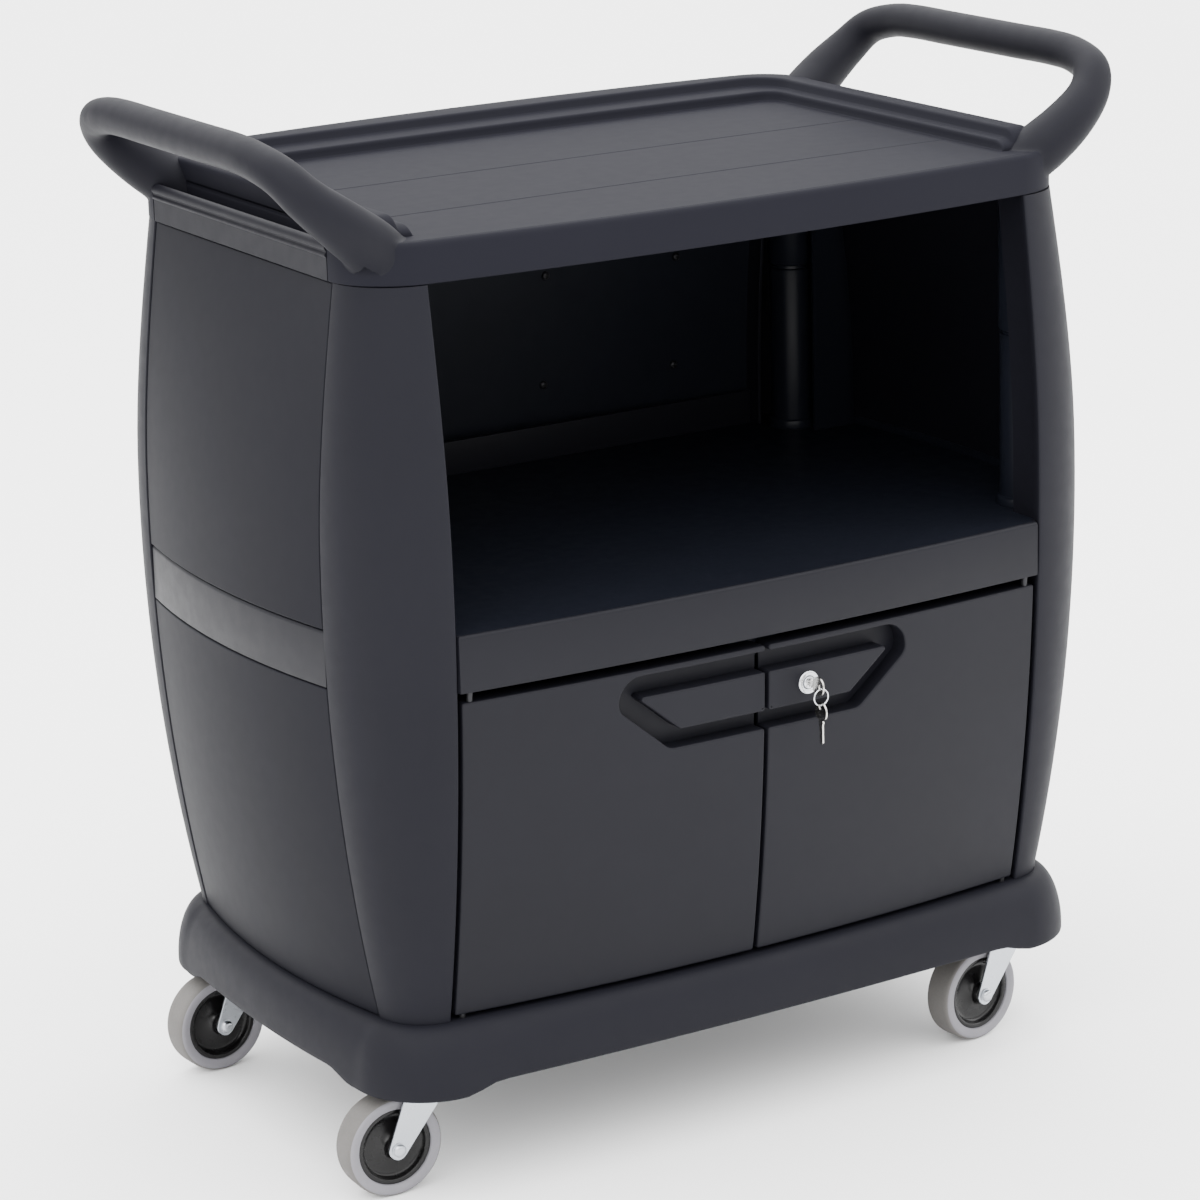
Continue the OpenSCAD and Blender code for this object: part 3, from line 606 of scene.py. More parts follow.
rings = [base_ring(0.93, 15), base_ring(0.8, 6), base_ring(0.4, 4.5), base_ring(0.0, 4.5, 1.0),
         base_ring(0.0, 3.9, 0.2), base_ring(0.0, 3.2, 0.0), base_ring(0.0, 2.4, 0.1),
         base_ring(0.0, 1.2, 0.6), base_ring(0.0, 0.4, 1.5), base_ring(0.0, 0.0, 3.0)]
for k in range(1, 25):
    a = PI / 2 * k / 24
    rings.append(base_ring(0.05 + 0.95 * math.sin(a), 0.0))
rings.append(base_ring(1.0, 1.0))
rings.append(base_ring(1.0, 14.0))
parts = [loft(rings)]
for sx in (-1, 1):
    for sy in (-1, 1):
        x, y = sx * CASTER_X, sy * CASTER_Y
        parts.append(soft_box((x - 49, y - 36, 125), (x + 49, y + 36, 147), 2))
        parts.append(soft_box((x - 35, y - 25, 140), (x + 35, y + 25, 172), 2))
for x in (-200, -100, 0, 100, 200):
    parts.append(box((x - 1.5, -225, 150), (x + 1.5, 225, 173)))
for y in (-110, 0, 110):
    parts.append(box((-330, y - 1.5, 150), (330, y + 1.5, 173)))
add("base_moulding", parts, BODY, "root", "base_tray", 40, merge=0.002)


# ------------------------------------------------------------- middle shelf
def shelf_loop(front_half=328.0, band_half=182.5, rc=84.0):
    z = LIP + 27
    fb, eb = fbow(z), ebow(z)
    q = []
    n = 16
    for i in range(n + 1):
        y = band_half * i / n
        q.append((CX + BULGE - 2 + eb * (1 - (y / CY) ** 2), y))
    q.append((CX + rc, CY - 1))
    for i in range(15):
        a = PI / 2 * i / 14
        q.append((CX + rc * math.cos(a), CY + rc * math.sin(a)))
    q.append((front_half + 1.5, CY + rc))
    for i in range(n + 1):
        x = front_half * (1 - i / n)
        q.append((x, CY + BULGE + fb * (1 - (x / CX) ** 2)))
    m = len(q)
    return (q + [(-x, y) for x, y in q[m - 2::-1]] + [(-x, -y) for x, y in q[1:]]
            + [(x, -y) for x, y in q[m - 2:0:-1]])


SL = shelf_loop()


def slab(loop, profile, caps=(True, True)):
    return loft([[(x, y, z) for x, y in offset(loop, d)] for d, z in profile], caps=caps)


shelf = [slab(SL,
              [(5.0, SHELF - 10), (4.6, LIP + 1.2), (4.0, LIP + 0.2), (3.4, LIP), (0.9, LIP),
               (0.3, LIP + 0.3), (0, LIP + 1), (0, SHELF - 4), (0.25, SHELF - 2.6),
               (0.9, SHELF - 1.3), (2.0, SHELF - 0.4), (3.4, SHELF), (4.0, SHELF)])]
shelf.append(soft_box((-328, 239.5, SHELF - 2), (328, 245, SHELF + 36), 1.2))
for s in (-1, 1):
    shelf.append(soft_box((s * 316 - 9, -CY - R(LIP) + 6, LIP + 0.5),
                          (s * 316 + 9, -CY - R(LIP) + 26, SHELF - 9), 1))
for s in (-1, 1):
    strip = []
    for i in range(25):
        y = -181 + 362 * i / 24
        strip.append([(s * (CX + R(z) - 5.2 - d + ebow(z) * (1 - (y / CY) ** 2)), y, z)
                      for d, z in ((0, SHELF - 1), (0, SHELF + 7), (0.5, SHELF + 7.6),
                                   (2.0, SHELF + 7.6), (2.5, SHELF + 7), (2.5, SHELF - 1))])
    shelf.append(loft(strip) + (1,))
v, f = fill(offset(SL, 4.0), (), 40)
shelf.append(([(x, y, SHELF + 0.02) for x, y in v], f, 1))
add("shelf_moulding", shelf, [DOORM, INNER], "root", "middle_shelf", 40,
    merge=0.002)

# ------------------------------------------------------------- top deck
def deck_outline():
    """Plan of the deck: front and rear bow out."""
    return outline(DECK_X - 70, DECK_CY, 70, DECK_BOW, 0, 12, 18)


def deck_loop():
    base = deck_outline()
    pts = [p for p in base if not (abs(p[0]) > 350 and abs(p[1]) < 181.5)]
    out = []
    for i, p in enumerate(pts):
        q = pts[(i + 1) % len(pts)]
        out.append(p)
        if abs(p[0]) > 390 and abs(q[0]) > 390 and p[0] * q[0] > 0 and p[1] * q[1] < 0:
            s = 1 if p[0] > 0 else -1
            t = 1 if p[1] > 0 else -1
            out += [(s * DECK_X, t * NOTCH_Y)]
            out += [(s * NOTCH_X, t * y) for y in (NOTCH_Y, 90, 0, -90, -NOTCH_Y)]
            out += [(s * DECK_X, -t * NOTCH_Y)]
    return out


DL = deck_loop()
deck = [slab(DL,
             [(6.0, DECK - 10), (5.6, LIP_TOP + 1.2), (5.0, LIP_TOP + 0.3), (4.2, LIP_TOP),
              (1.2, LIP_TOP), (0.4, LIP_TOP + 0.4), (0, LIP_TOP + 1.2), (0, DECK - 6.5),
              (0.25, DECK - 4.6), (1.0, DECK - 2.8), (2.2, DECK - 1.3), (3.8, DECK - 0.3),
              (5.6, DECK + 0.15), (6.6, DECK + 0.05), (7.1, DECK - 0.7), (7.8, DECK - 0.8),
              (8.3, DECK - 0.15), (9.2, DECK), (10.5, DECK)], (True, False))]
v, f = fill(offset(DL, 10.5), (), 24)
deck.append(([(x, y, DECK) for x, y in v], f))
for y in (-126, 26):
    r = [[(x, y + dy, DECK + dz) for dy, dz in ((-1.3, -0.2), (-0.9, 0.12), (-0.3, 0.38),
                                                (0.3, 0.38), (0.9, 0.12), (1.3, -0.2))]
                                                for x in (-RIM_X + 3, 0, RIM_X - 3)]
    deck.append(loft(r))


NOSE = (0, 0.5, 1.2, 2.2, 3.6, 5.4, 7.6, 10.2, 13.2, 17)


def rim_path():
    """Stations round the rim: foot point, outward direction, width and ledge depth."""
    st = []
    rin = 18.0
    front = -217.0
    n = 26
    for step in NOSE:
        st.append((RIM_X, front + step, 1.0, 0.0, 40.0, 9.5))
    for i in range(2, n + 1):
        y = front + (RIM_Y - rin - front) * i / n
        st.append((RIM_X, y, 1.0, 0.0, 40.0, 9.5))
    for i in range(1, 16):
        a = PI / 2 * i / 16
        k = smooth01(i / 16)
        w = 40 + 21 * k + 6 * math.sin(2 * a)
        st.append((RIM_X - rin + rin * math.cos(a), RIM_Y - rin + rin * math.sin(a), math.cos(a),
                   math.sin(a), w, 9.5 + 20 * k))
    for i in range(0, 25):
        x = (RIM_X - rin) * (1 - i / 24)
        bow = 1 - (x / RIM_X) ** 2
        st.append((x, RIM_Y + 4.8 * bow, 0.0, 1.0, 61 + 14 * bow, 29.5))
    return st + [(-x, y, -dx, dy, w, g) for x, y, dx, dy, w, g in st[-2::-1]]


def rim_profile(w, g):
    h = RIM_H
    out = [(-1.5, -1.5), (-0.4, 0.0), (0.5, 0.5), (1.2, 1.6), (2.0, h * 0.30), (2.7, h * 0.42),
           (3.6, h * 0.475), (5.0, h * 0.50), (5.0 + g * 0.5, h * 0.52), (2.6 + g, h * 0.535),
           (4.0 + g, h * 0.56), (4.8 + g, h * 0.62), (6.6 + g, h * 0.86), (7.4 + g, h * 0.94),
           (8.8 + g, h * 0.985), (10.5 + g, h), (w - 5, h), (w - 2.6, h * 0.985),
           (w - 1.0, h * 0.92), (w - 0.2, h * 0.82), (w, h * 0.7), (w, -1.5)]
    return out


stations = rim_path()
rr = []
for i, (x, y, dx, dy, w, g) in enumerate(stations):
    edge = min(i, len(stations) - 1 - i)
    k = math.sqrt(1 - (1 - NOSE[edge] / NOSE[-1]) ** 2) if edge < len(NOSE) else 1.0
    k = max(k, 0.02)
    rr.append([(x + dx * d, y + dy * d, DECK + h * (k if h > 0 else 1))
               for d, h in rim_profile(w, g)])
deck.append(loft(rr))
deck.append(box((360, -181, LIP_TOP + 1), (366, 181, DECK - 0.3)))
deck.append(box((-366, -181, LIP_TOP + 1), (-360, 181, DECK - 0.3)))
add("deck_moulding", deck, DECKM, "root", "top_deck", 40, merge=0.002)

# ------------------------------------------------------------- end aprons
for side, s in (("left", -1), ("right", 1)):
    prof = [(391.2, LIP_TOP + 0.3), (392, LIP_TOP), (395.2, LIP_TOP), (396, LIP_TOP + 0.6),
            (396, 909.5), (396.6, 910.2), (397.4, 911), (397.7, 912), (397.4, 913), (396.6, 913.7),
            (396.1, 914.6), (396.2, 916), (397.4, 917.2), (398.0, 919), (397.6, 921.2),
            (396.2, 923.2), (394, 924.3), (391.6, 924.6), (389.6, 923.8), (388.6, 922.2),
            (389, 919.5), (391.2, 917)]
    rings = [[(s * x, y, z) for x, z in prof] for y in (-179.4, -120, -60, 0, 60, 120, 179.4)]
    parts = [loft(rings),
             soft_box((min(s * 366.6, s * 392), -179.4, 899), (max(s * 366.6, s * 392), 179.4, 903),
                      0.8)]
    add("end_apron_" + side + "_moulding", parts, BODY, "root", "end_apron_" + side,
        30)

# ------------------------------------------------------------- handles
GRIP = mm_box("handle_right")[1]
GR = 18.0
GX = GRIP.x - GR
GZ = GRIP.z - GR
ROUTE = [(336, -190, 888, 26), (364, -203, 917, 27), (400, -211, 945, 24.5), (431, -207, 971, 20.8),
         (448, -191, 992, 18.8), (455, -157, 1002, GR), (GX, -118, GZ, GR), (GX, -60, GZ, GR),
         (GX, 0, GZ, GR), (GX, 60, GZ, GR)]


def catmull(p, n):
    out = []
    for i in range(len(p) - 2):
        a, b, c, d = (np.array(p[max(i - 1, 0)]), np.array(p[i]), np.array(p[i + 1]),
                      np.array(p[i + 2]))
        for k in range(n):
            t = k / n
            out.append(tuple(0.5 * (2 * b + (c - a) * t + (2 * a - 5 * b + 4 * c - d) * t * t
                                    + (3 * b - a - 3 * c + d) * t ** 3)))
    return out


def tube(path, n=36):
    rings = []
    for i, p in enumerate(path):
        a, b = Vector(path[max(i - 1, 0)][:3]), Vector(path[min(i + 1, len(path) - 1)][:3])
        along = (b - a).normalized()
        out = along.cross(Vector((-0.4, 0, 1))).normalized()
        up = out.cross(along)
        c, r = Vector(p[:3]), p[3]
        turn = [2 * PI * k / n for k in range(n)]
        rings.append([tuple(c + out * (r * math.cos(a)) + up * (r * math.sin(a))) for a in turn])
    return loft(rings)


half = catmull(ROUTE, 8)
whole = half + [(x, -y, z, r) for x, y, z, r in half[-2::-1]]
whole = [(x, y - HANDLE_SHIFT, z, r) for x, y, z, r in whole]


def corner_chunk(sy):
    base = offset(deck_outline(), 0.6)
    pts = [p for p in base if p[0] > 296 and p[1] * sy > 182]
    pts.sort(key=lambda p: math.atan2((p[1] * sy - 182), p[0] - 320))
    loop = [(296, 182 * sy)] + ([(DECK_X - 0.6, 182 * sy)] + pts)
    if sy < 0:
        loop = loop[::-1]
    return loft([[(x, y, z) for x, y in loop] for z in (LIP_TOP + 6, DECK - 0.6)])


for side, s in (("left", -1), ("right", 1)):
    parts = [tube(whole), corner_chunk(-1), corner_chunk(1)]
    parts = flip(parts, s, 1)
    ob = add("handle_" + side + "_moulding", parts, BODY, "root", "handle_" + side,
             60, merge=0.0005)
    md = ob.modifiers.new("r", "REMESH")
    md.mode = "VOXEL"
    md.voxel_size = 0.0017
    md.adaptivity = 0.0
    sm = ob.modifiers.new("s", "SMOOTH")
    sm.factor = 0.6
    sm.iterations = 30
    bake(ob)
    bm = bmesh.new()
    bm.from_mesh(ob.data)
    bmesh.ops.bisect_plane(bm, geom=bm.verts[:] + bm.edges[:] + bm.faces[:], dist=1e-7,
                           plane_co=(0, 0, (LIP_TOP + 8) * 0.001), plane_no=(0, 0, -1),
                           clear_outer=True)
    gone = [v for v in bm.verts
            if (v.co.z < (DECK - 1.6) * 0.001 and abs(v.co.x) < 0.386 and abs(v.co.y) < 0.232
                and not (abs(v.co.x) > 0.366 and abs(v.co.y) < 0.181))]
    bmesh.ops.delete(bm, geom=gone, context="VERTS")
    bm.to_mesh(ob.data)
    bm.free()
    ob.data.materials.clear()
    ob.data.materials.append(BODY)
    finish_mesh(ob, 60)

# ------------------------------------------------------------- columns
for name, (sx, sy) in SIDES.items():
    r = COLUMN_R
    prof = [(0, SHELF), (r + 3, SHELF), (r + 3.2, SHELF + 1), (r + 3.2, SHELF + 6),
            (r + 2.4, SHELF + 8.4), (r, SHELF + 10), (r, 739), (r - 0.6, 740.6), (r - 2, 741.4),
            (r - 2, 744.4), (r + 0.6, 745.4), (r + 1.5, 747), (r + 1.5, DECK - 10.5),
            (0, DECK - 10.5)]
    v, f = lathe(prof, 64)
    add("column_" + name, [([(x + sx * COLUMN_X, y + sy * COLUMN_Y, z) for x, y, z in v], f)],
        INNER, "root", "upright_" + name, 35)

# ------------------------------------------------------------- doors
POCKET_D = 19.0
DOOR_T = 23.0
LOCK_LO, LOCK_HI = mm_box("lock_body")
LX = (LOCK_LO.x + LOCK_HI.x) / 2
LZ = (LOCK_LO.z + LOCK_HI.z) / 2
LY = face_y(LX, LZ)


def door_parts(s, lock):
    z0, z1 = DOOR_LO.z, DOOR_HI.z
    big = [(GAP, z0), (DOOR_EDGE, z0), (DOOR_EDGE, z1), (GAP, z1), (GAP, 495), (163, 495),
           (163, 464), (108, 417), (GAP, 417)]
    loop = dense(rounded(big, [2.5, 2.5, 2.5, 2.7, 2.7, 24, 14, 15, 2.6], 9), 5)
    parts = raised(loop, 1.7, POCKET_D + 0.3, face_y)
    plate = rounded([(GAP, 435), (97, 435), (143.8, 474), (GAP, 474)], [2, 3.5, 2.8, 2], 8)
    hole = []
    if lock:
        hole = [[(LX + 11.2 * math.cos(2 * PI * k / 40), LZ + 11.2 * math.sin(2 * PI * k / 40))
                 for k in range(40)]]
    parts += raised(dense(plate, 4), 1.6, POCKET_D + 0.3, face_y, hole, spacing=8)
    back = dense(rounded([(GAP, z0), (DOOR_EDGE, z0), (DOOR_EDGE, z1), (GAP, z1)], 2.5, 5), 9)
    ring = [[(x, face_y(x, z) + d, z) for x, z in offset(back, i)]
            for i, d in ((1.0, POCKET_D), (0.1, POCKET_D), (0.1, DOOR_T - 1), (0.4, DOOR_T - 0.3),
                         (1.1, DOOR_T))]
    parts.append(loft(ring, caps=(False, False)))
    for d, i in ((POCKET_D, 1.0), (DOOR_T, 1.1)):
        v, f = fill(offset(back, i), (), 14)
        parts.append(([(x, face_y(x, z) + d, z) for x, z in v], f))
    return flip(parts, s, 1)


add("door_left_moulding", door_parts(-1, False), DOORM, "left_door", "door_left",
    40, merge=0.01)
add("door_right_moulding", door_parts(1, True), DOORM, "right_door", "door_right",
    40, merge=0.01)


# ------------------------------------------------------------- lock and keys
def along_y(parts, x, y, z):
    """Shells turned about +Z, laid so that their height runs towards -Y from (x, y, z)."""
    return [([(x + a, y - c, z + b) for a, b, c in p[0]],) + tuple(p[1:]) for p in parts]


bezel = lathe([(9.4, -30), (9.4, 0.2), (11.3, 0.3), (11.6, 0.7), (11.5, 1.6), (10.9, 2.3),
               (10.0, 2.6), (8.2, 2.55), (7.2, 2.2), (6.6, 1.4), (6.15, 0.6), (6.1, -2)], 72)
add("lock_bezel", along_y([bezel], LX, LY, LZ), CHROME, "right_door", "lock_body",
    40)
plug = lathe([(6.0, -30), (6.0, 2.3), (5.8, 2.7), (5.4, 2.95), (0.0, 3.05)], 48)
# A thin dark plate on the plug face: painted shade for the keyway slot.
slotp = box((-0.95, -3.7, 2.9), (0.95, 3.7, 3.12))
stem = lathe([(0, -38), (3.0, -38), (3.0, -30), (6.0, -30)], 24)
add("lock_barrel_plug", along_y([plug, slotp + (1,), stem], LX, LY, LZ), [CHROME, SLOT_SHADE],
    "lock_barrel", "lock_plug", 35)


EYE_IN = 5.0


def key_parts(blade, teeth):
    """Flat key in a plane, eye at the origin, blade along +X; thickness along the third axis."""
    r, c = 9.5, 4.5
    a0 = math.asin(3.1 / r)
    loop = [(c + r * math.cos(t), r * math.sin(t)) for t in np.linspace(a0, 2 * PI - a0, 46)]
    loop += [(14.0, -3.1), (15.0, -3.9), (15.0, -3.9), (16.2, -3.9), (16.2, -2.9)]
    end = 12 + blade
    loop += [(end - 2.4, -2.9), (end, -0.3), (end - 1.2, 1.4)]
    x = end - 2.2
    depth = [1.2, 2.4, 0.9, 2.0, 1.5, 2.6, 1.1]
    k = 0
    while x > 19.5 and k < teeth:
        loop += [(x, 3.0 - depth[k % 7]), (x - 1.0, 3.0 - depth[k % 7]), (x - 1.9, 3.0)]
        x -= 2.6
        k += 1
    loop += [(16.2, 3.0), (16.2, 3.9), (15.0, 3.9), (14.0, 3.1)]
    loop = [p for i, p in enumerate(loop)
            if i == 0 or (Vector(p) - Vector(loop[i - 1])).length > 1e-4]
    hole = [(3.0 * math.cos(2 * PI * k / 28), 3.0 * math.sin(2 * PI * k / 28)) for k in range(28)]
    v, f = fill(loop, [hole])
    t = 0.8
    parts = []
    for s in (-1, 1):
        parts.append(([(x, y, s * t) for x, y in v], f))
    parts.append(loft([[(x, y, -t) for x, y in loop], [(x, y, t) for x, y in loop]],
                      caps=(False, False)))
    parts.append(loft([[(x, y, -t) for x, y in hole], [(x, y, t) for x, y in hole]],
                      caps=(False, False)))
    # The grooves are thin dark strips on each face of the blade: painted shade for the milled
    # grooves.
    groove = [(17, -0.3), (end - 4, -0.3), (end - 4, 0.5), (17, 0.5)]
    for s in (-1, 1):
        parts.append(loft([[(x, y, s * (t - 0.1)) for x, y in groove],
                           [(x, y, s * (t + 0.05)) for x, y in groove]]) + (1,))
    return parts


EYE = mm_box("door_key")[0].y + EYE_IN
p = key_parts(22, 2)
add("key_in_lock", [([(LX + c, EYE + a, LZ + b) for a, b, c in q[0]],) + tuple(q[1:]) for q in p],
    [BRASS, SLOT_SHADE], "lock_barrel", "door_key", 35)
sp_eye = mm_box("spare_key")[1].z - EYE_IN
p = key_parts(26, 5)
add("key_hanging",
    [([(LX + c, EYE + b, sp_eye - a) for a, b, c in q[0]],) + tuple(q[1:]) for q in p],
    [BRASS, SLOT_SHADE], "keys", "spare_key", 35)
RG_LO, RG_HI = mm_box("key_ring")
rz = (RG_LO.z + RG_HI.z) / 2
ry = (RG_LO.y + RG_HI.y) / 2
rb = (RG_HI.z - RG_LO.z) / 2 - 0.8
ringr = []
n = 120
for k in range(n):
    a = 2 * PI * k / n
    ringr.append([(LX + (rb + 0.78 * math.cos(b)) * math.cos(a), ry + 0.78 * math.sin(b),
                   rz + (rb + 0.78 * math.cos(b)) * math.sin(a))
                   for b in [2 * PI * j / 14 for j in range(14)]])
add("split_ring", [loft(ringr, loop=True)], CHROME, "keys", "key_ring", 60)

# ------------------------------------------------------------- casters
JOINTS = {j["name"]: j for j in REC["behaviour"]["joints"]}


def fork_parts():
    """Stamped fork in its own frame: swivel axis on Z, wheel towards -X, floor at Z 0."""
    zt = 105.5
    yl = 20.5
    t = 1.5
    rb = 4.5
    rows = []

    def span(z):
        eye = math.sqrt(max(0, 100 - (z - 50) ** 2))
        lo = -37 - eye if z < 51.6 else -46.9 + (z - 51.6) * 20.9 / 55.4
        hi = -37 + eye if z < 43 else -29.8 + (z - 43) * 50.8 / 64
        return lo, hi

    zs = [40.02 + 10 * (1 - math.cos(PI / 2 * i / 10))
          for i in range(11)] + [51.6 + (zt - rb - 51.6) * i / 10 for i in range(1, 11)]
    for z in zs:
        rows.append((yl, z, 1, 0) + span(z))
    for i in range(1, 7):
        a = PI / 2 * i / 6
        y, z = yl - rb + rb * math.cos(a), zt - rb + rb * math.sin(a)
        rows.append((y, z, math.cos(a), math.sin(a)) + span(z))
    for y in (10, 5, 0):
        rows.append((y, zt, 0, 1) + span(zt))
    rows = rows + [(-y, z, -ny, nz, lo, hi) for y, z, ny, nz, lo, hi in rows[-2::-1]]
    rings = []
    for y, z, ny, nz, lo, hi in rows:
        c = 0.5
        sec = [(lo, -t + c), (lo + c, -t), (hi - c, -t), (hi, -t + c), (hi, t - c), (hi - c, t),
               (lo + c, t), (lo, t - c)]
        if hi - lo < 1.2:
            m = (lo + hi) / 2
            sec = [(m - 0.5, q[1]) if q[0] < m else (m + 0.5, q[1]) for q in sec]
        rings.append([(x, y + ny * d, z + nz * d) for x, d in sec])
    parts = [loft(rings)]
    parts.append(lathe([(6.1, 104), (24.6, 104.2), (25.4, 105), (25.6, 112.5), (24.8, 114.4),
                        (22.5, 115.0), (6.1, 115)], 64))
    return parts


def wheel_parts():
    """Wheel about Z: tyre and hub profiles, both sides."""
    ty = [(38, -13.5), (38.6, -14.4), (39.6, -14.6), (41, -15.2), (44.8, -15.9), (46.6, -15.7),
          (47.9, -14.9)]
    tr = [(47.9, -14.9), (48.9, -13.8), (49.5, -12.3), (49.85, -10), (50, -7), (50, 0)]
    parts = []
    for s in (-1, 1):
        for prof, m in ((ty, 0), (tr, 1)):
            v, f = lathe([(r, s * h) for r, h in prof], 112)
            parts.append((v, f, m))
    parts.append(lathe([(38, -13.5), (38, 13.5)], 112) + (0,))
    hub = [(4.2, 18.3), (7.6, 18.3), (8.6, 17.9), (9.2, 17.0), (9.8, 12.0), (10.6, 10.6),
           (12.5, 9.0), (16, 7.6), (22, 6.8), (27, 6.6), (30, 7.1), (31.8, 8.6), (32.6, 11.0),
           (33.2, 12.6), (34.2, 13.2), (36.6, 13.3), (37.6, 12.9), (38, 12)]
    hp = []
    for s in (-1, 1):
        hp.append(lathe([(r, s * h) for r, h in hub], 96))
    hp.append(lathe([(38, -12), (38, 12)], 96))
    return parts, hp


FORK = fork_parts()
TY, HB = wheel_parts()
for name, (sx, sy) in SIDES.items():
    js, jw = JOINTS["swivel_turn_" + name], JOINTS["wheel_spin_" + name]
    px, py, _ = [c * 1000 for c in js["pos_m"]]
    ax = Vector(jw["axis"])
    wx, wy, wz = [c * 1000 for c in jw["pos_m"]]
    xa = Vector((ax.y, -ax.x, 0)).normalized()

    def place(parts, o=(px, py, 0), xa=xa, ax=ax):
        return [([(o[0] + a * xa.x + b * ax.x, o[1] + a * xa.y + b * ax.y, o[2] + c)
                  for a, b, c in p[0]],) + tuple(p[1:]) for p in parts]

    def wheel_place(parts, o=(wx, wy, wz), xa=xa, ax=ax):
        return [([(o[0] + a * xa.x + c * ax.x, o[1] + a * xa.y + c * ax.y, o[2] + b)
                  for a, b, c in p[0]],) + tuple(p[1:]) for p in parts]

    add("fork_plate_" + name, place(FORK), ZINC, "swivel_" + name, "fork_" + name, 40)
    bolt = []
    for s in (-1, 1):
        v, f = lathe([(4.0, 21.5), (7.0, 22.05), (7.2, 22.4), (7.2, 22.8), (6.3, 23.0), (6.1, 23.4),
                      (6.3, 24.6), (5.6, 25.8), (4.2, 26.6), (2.0, 27.0), (0, 27.0)], 40)
        bolt.append(([(a, b, s * c) for a, b, c in v], f))
    bolt.append(lathe([(4.0, -22), (4.0, 22)], 32))
    add("axle_bolt_" + name, wheel_place(bolt), ZINC, "swivel_" + name, "axle_" + name,
        35)
    add("tyre_band_" + name, wheel_place(TY), [TYRE, TREAD], "wheel_" + name, "tyre_" + name,
        40)
    add("hub_disc_" + name, wheel_place(HB), HUB, "wheel_" + name, "hub_" + name,
        40)
    plate = [soft_box((px - 47, py - 34, 122), (px + 47, py + 34, 125), 0.8, 2)]
    v, f = lathe([(6.0, 99), (9.0, 99), (9.0, 103.5), (6.0, 103.6), (6.0, 115.6), (25.8, 115.7),
                  (26.8, 116.4), (27.0, 118), (26.6, 121), (28, 122.4)], 64)
    plate.append(([(x + px, y + py, z) for x, y, z in v], f))
    add("caster_plate_" + name + "_steel", plate, ZINC, "root", "caster_plate_" + name,
        40)

heads = []
for sx in (-1, 1):
    for sy in (-1, 1):
        for bx in (-BOLT_X, BOLT_X):
            for by in (-BOLT_Y, BOLT_Y):
                v, f = lathe([(0, 117.2), (5.6, 117.2), (6.5, 118.0), (6.5, 121.9), (4, 122),
                              (4, 130)], 6)
                heads.append(([(x + sx * CASTER_X + bx, y + sy * CASTER_Y + by, z)
                               for x, y, z in v], f))
add("caster_bolt_heads", heads, ZINC, "root", "caster_bolts", 20)

# ------------------------------------------------------------- carried-over nodes
# Hinge pins take the darkened steel: painted shade, so the pins read as part of the dark gaps by
# the doors.
CARRIED = {"lower_uprights": INNER, "hinge_pins_left": SHADE_DARKENED_STEEL, "hinge_pins_right": SHADE_DARKENED_STEEL,
           "door_catch": INNER, "strike_left": ZINC, "strike_right": ZINC, "lock_nut": CHROME,
           "lock_cam": CHROME}
for node, mat in CARRIED.items():
    ob = frame["nodes"][node]
    ob.data.materials.clear()
    ob.data.materials.append(mat)

# ------------------------------------------------------------- floor, light, camera
def area(name, loc, target, size, energy, colour=(1, 1, 1)):
    d = bpy.data.lights.new(name, "AREA")
    d.shape = "RECTANGLE"
    d.size, d.size_y = size
    d.energy = energy
    d.color = colour
    o = bpy.data.objects.new(name, d)
    bpy.context.scene.collection.objects.link(o)
    o.location = loc
    o.rotation_mode = "QUATERNION"
    o.rotation_quaternion = (Vector(target) - Vector(loc)).to_track_quat("-Z", "Y")
    return o


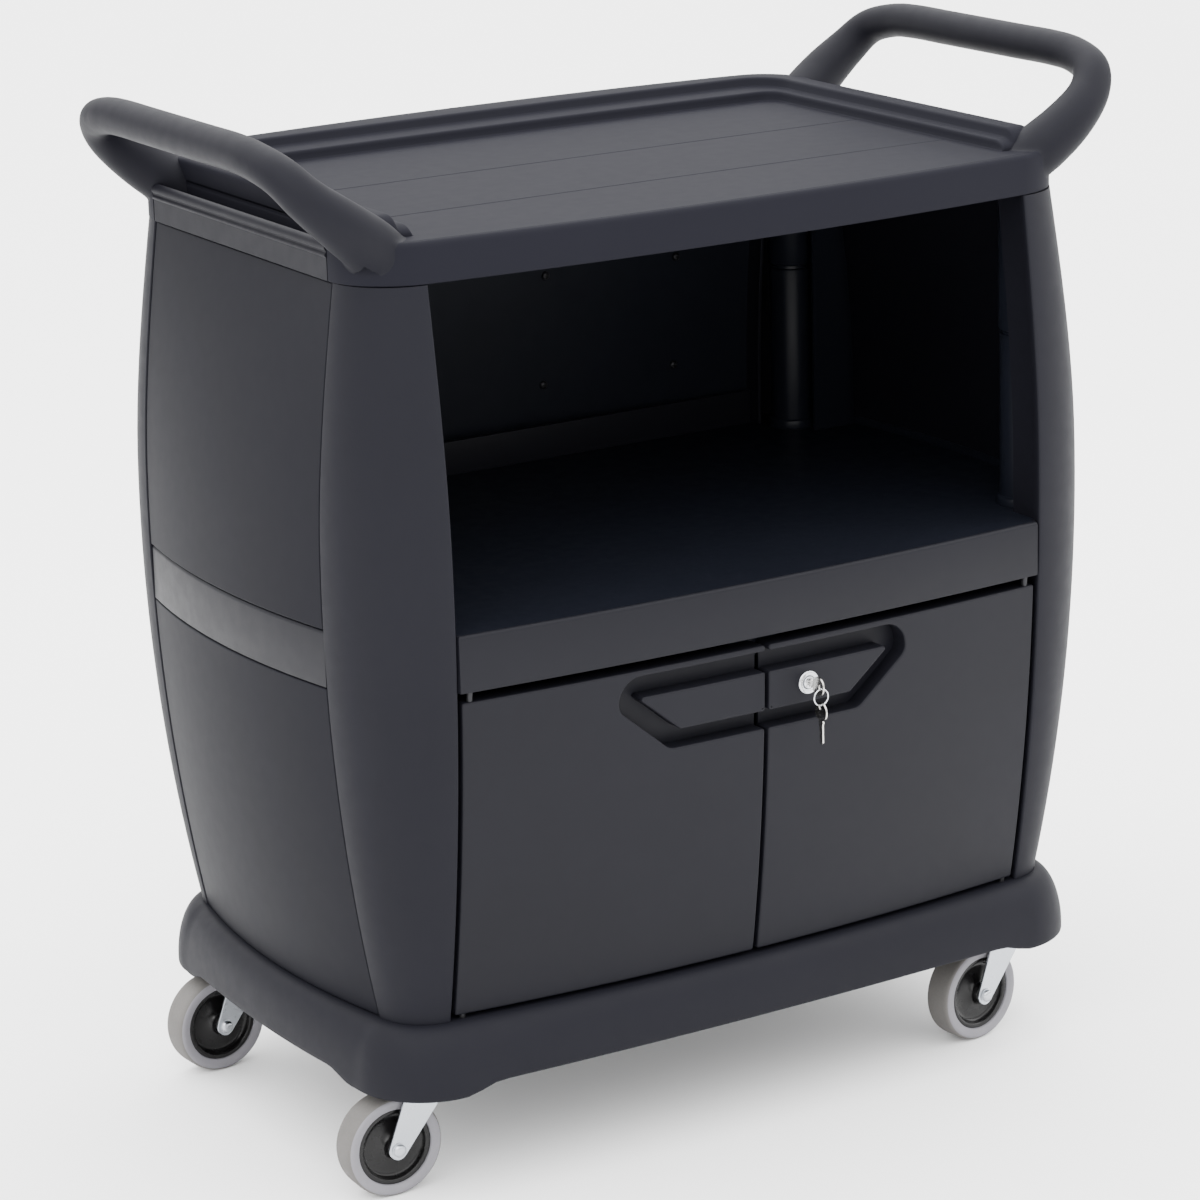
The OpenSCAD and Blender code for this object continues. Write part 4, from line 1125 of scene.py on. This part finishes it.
fm = bpy.data.materials.new("studio_floor")
fm.use_nodes = True
fb = fm.node_tree.nodes["Principled BSDF"]
ftc = fm.node_tree.nodes.new("ShaderNodeTexCoord").outputs["Object"]
fn = noise(fm.node_tree, ftc, 3.0, 2.0)
fmix = fm.node_tree.nodes.new("ShaderNodeMix")
fmix.data_type = "RGBA"
fmix.inputs["A"].default_value = (0.90, 0.90, 0.90, 1)
fmix.inputs["B"].default_value = (0.92, 0.92, 0.92, 1)
fm.node_tree.links.new(fn, fmix.inputs["Factor"])
fm.node_tree.links.new(fmix.outputs["Result"], fb.inputs["Base Color"])
fb.inputs["Roughness"].default_value = 0.75
fb.inputs["Specular IOR Level"].default_value = 0.2
fv = [(-14, -14, 0), (14, -14, 0), (14, 14, 0), (-14, 14, 0)]
fme = bpy.data.meshes.new("floor")
fme.from_pydata(fv, [], [(0, 1, 2, 3)])
fme.materials.append(fm)
floor = bpy.data.objects.new("floor", fme)
bpy.context.scene.collection.objects.link(floor)

world = bpy.data.worlds.new("studio")
bpy.context.scene.world = world
world.use_nodes = True
world.node_tree.nodes["Background"].inputs["Color"].default_value = (1, 1, 1, 1)
sky = world.node_tree.nodes.new("ShaderNodeTexCoord").outputs["Generated"]
height = world.node_tree.nodes.new("ShaderNodeSeparateXYZ")
world.node_tree.links.new(sky, height.inputs["Vector"])
world.node_tree.links.new(ranged(world.node_tree, height.outputs["Z"], 1.2, 5.6, 0.0, 0.65),
                          world.node_tree.nodes["Background"].inputs["Strength"])

area("key_light", (-2.6, -2.2, 2.9), (0, 0, 0.6), (2.2, 2.2), 45)
area("top_light", (0.2, 0.6, 3.2), (0, 0, 0.8), (2.4, 1.8), 40)
area("right_light", (2.8, -1.2, 1.6), (0, 0, 0.6), (1.2, 2.0), 24)

cam = bpy.data.cameras.new("camera")
cam.lens = 121.7
cam.sensor_width = 36
cam.clip_end = 100
co = bpy.data.objects.new("camera", cam)
bpy.context.scene.collection.objects.link(co)
az, el, roll = math.radians(30.89), math.radians(16.39), math.radians(-1.643)
d = Vector((math.sin(az) * math.cos(el), math.cos(az) * math.cos(el), -math.sin(el)))
right = Vector((math.cos(az), -math.sin(az), 0))
up = right.cross(d)
x2 = right * math.cos(roll) + up * math.sin(roll)
y2 = -right * math.sin(roll) + up * math.cos(roll)
co.matrix_world = Matrix(((x2.x, y2.x, -d.x, -2.025), (x2.y, y2.y, -d.y, -3.362),
                          (x2.z, y2.z, -d.z, 1.633), (0, 0, 0, 1)))
bpy.context.scene.camera = co
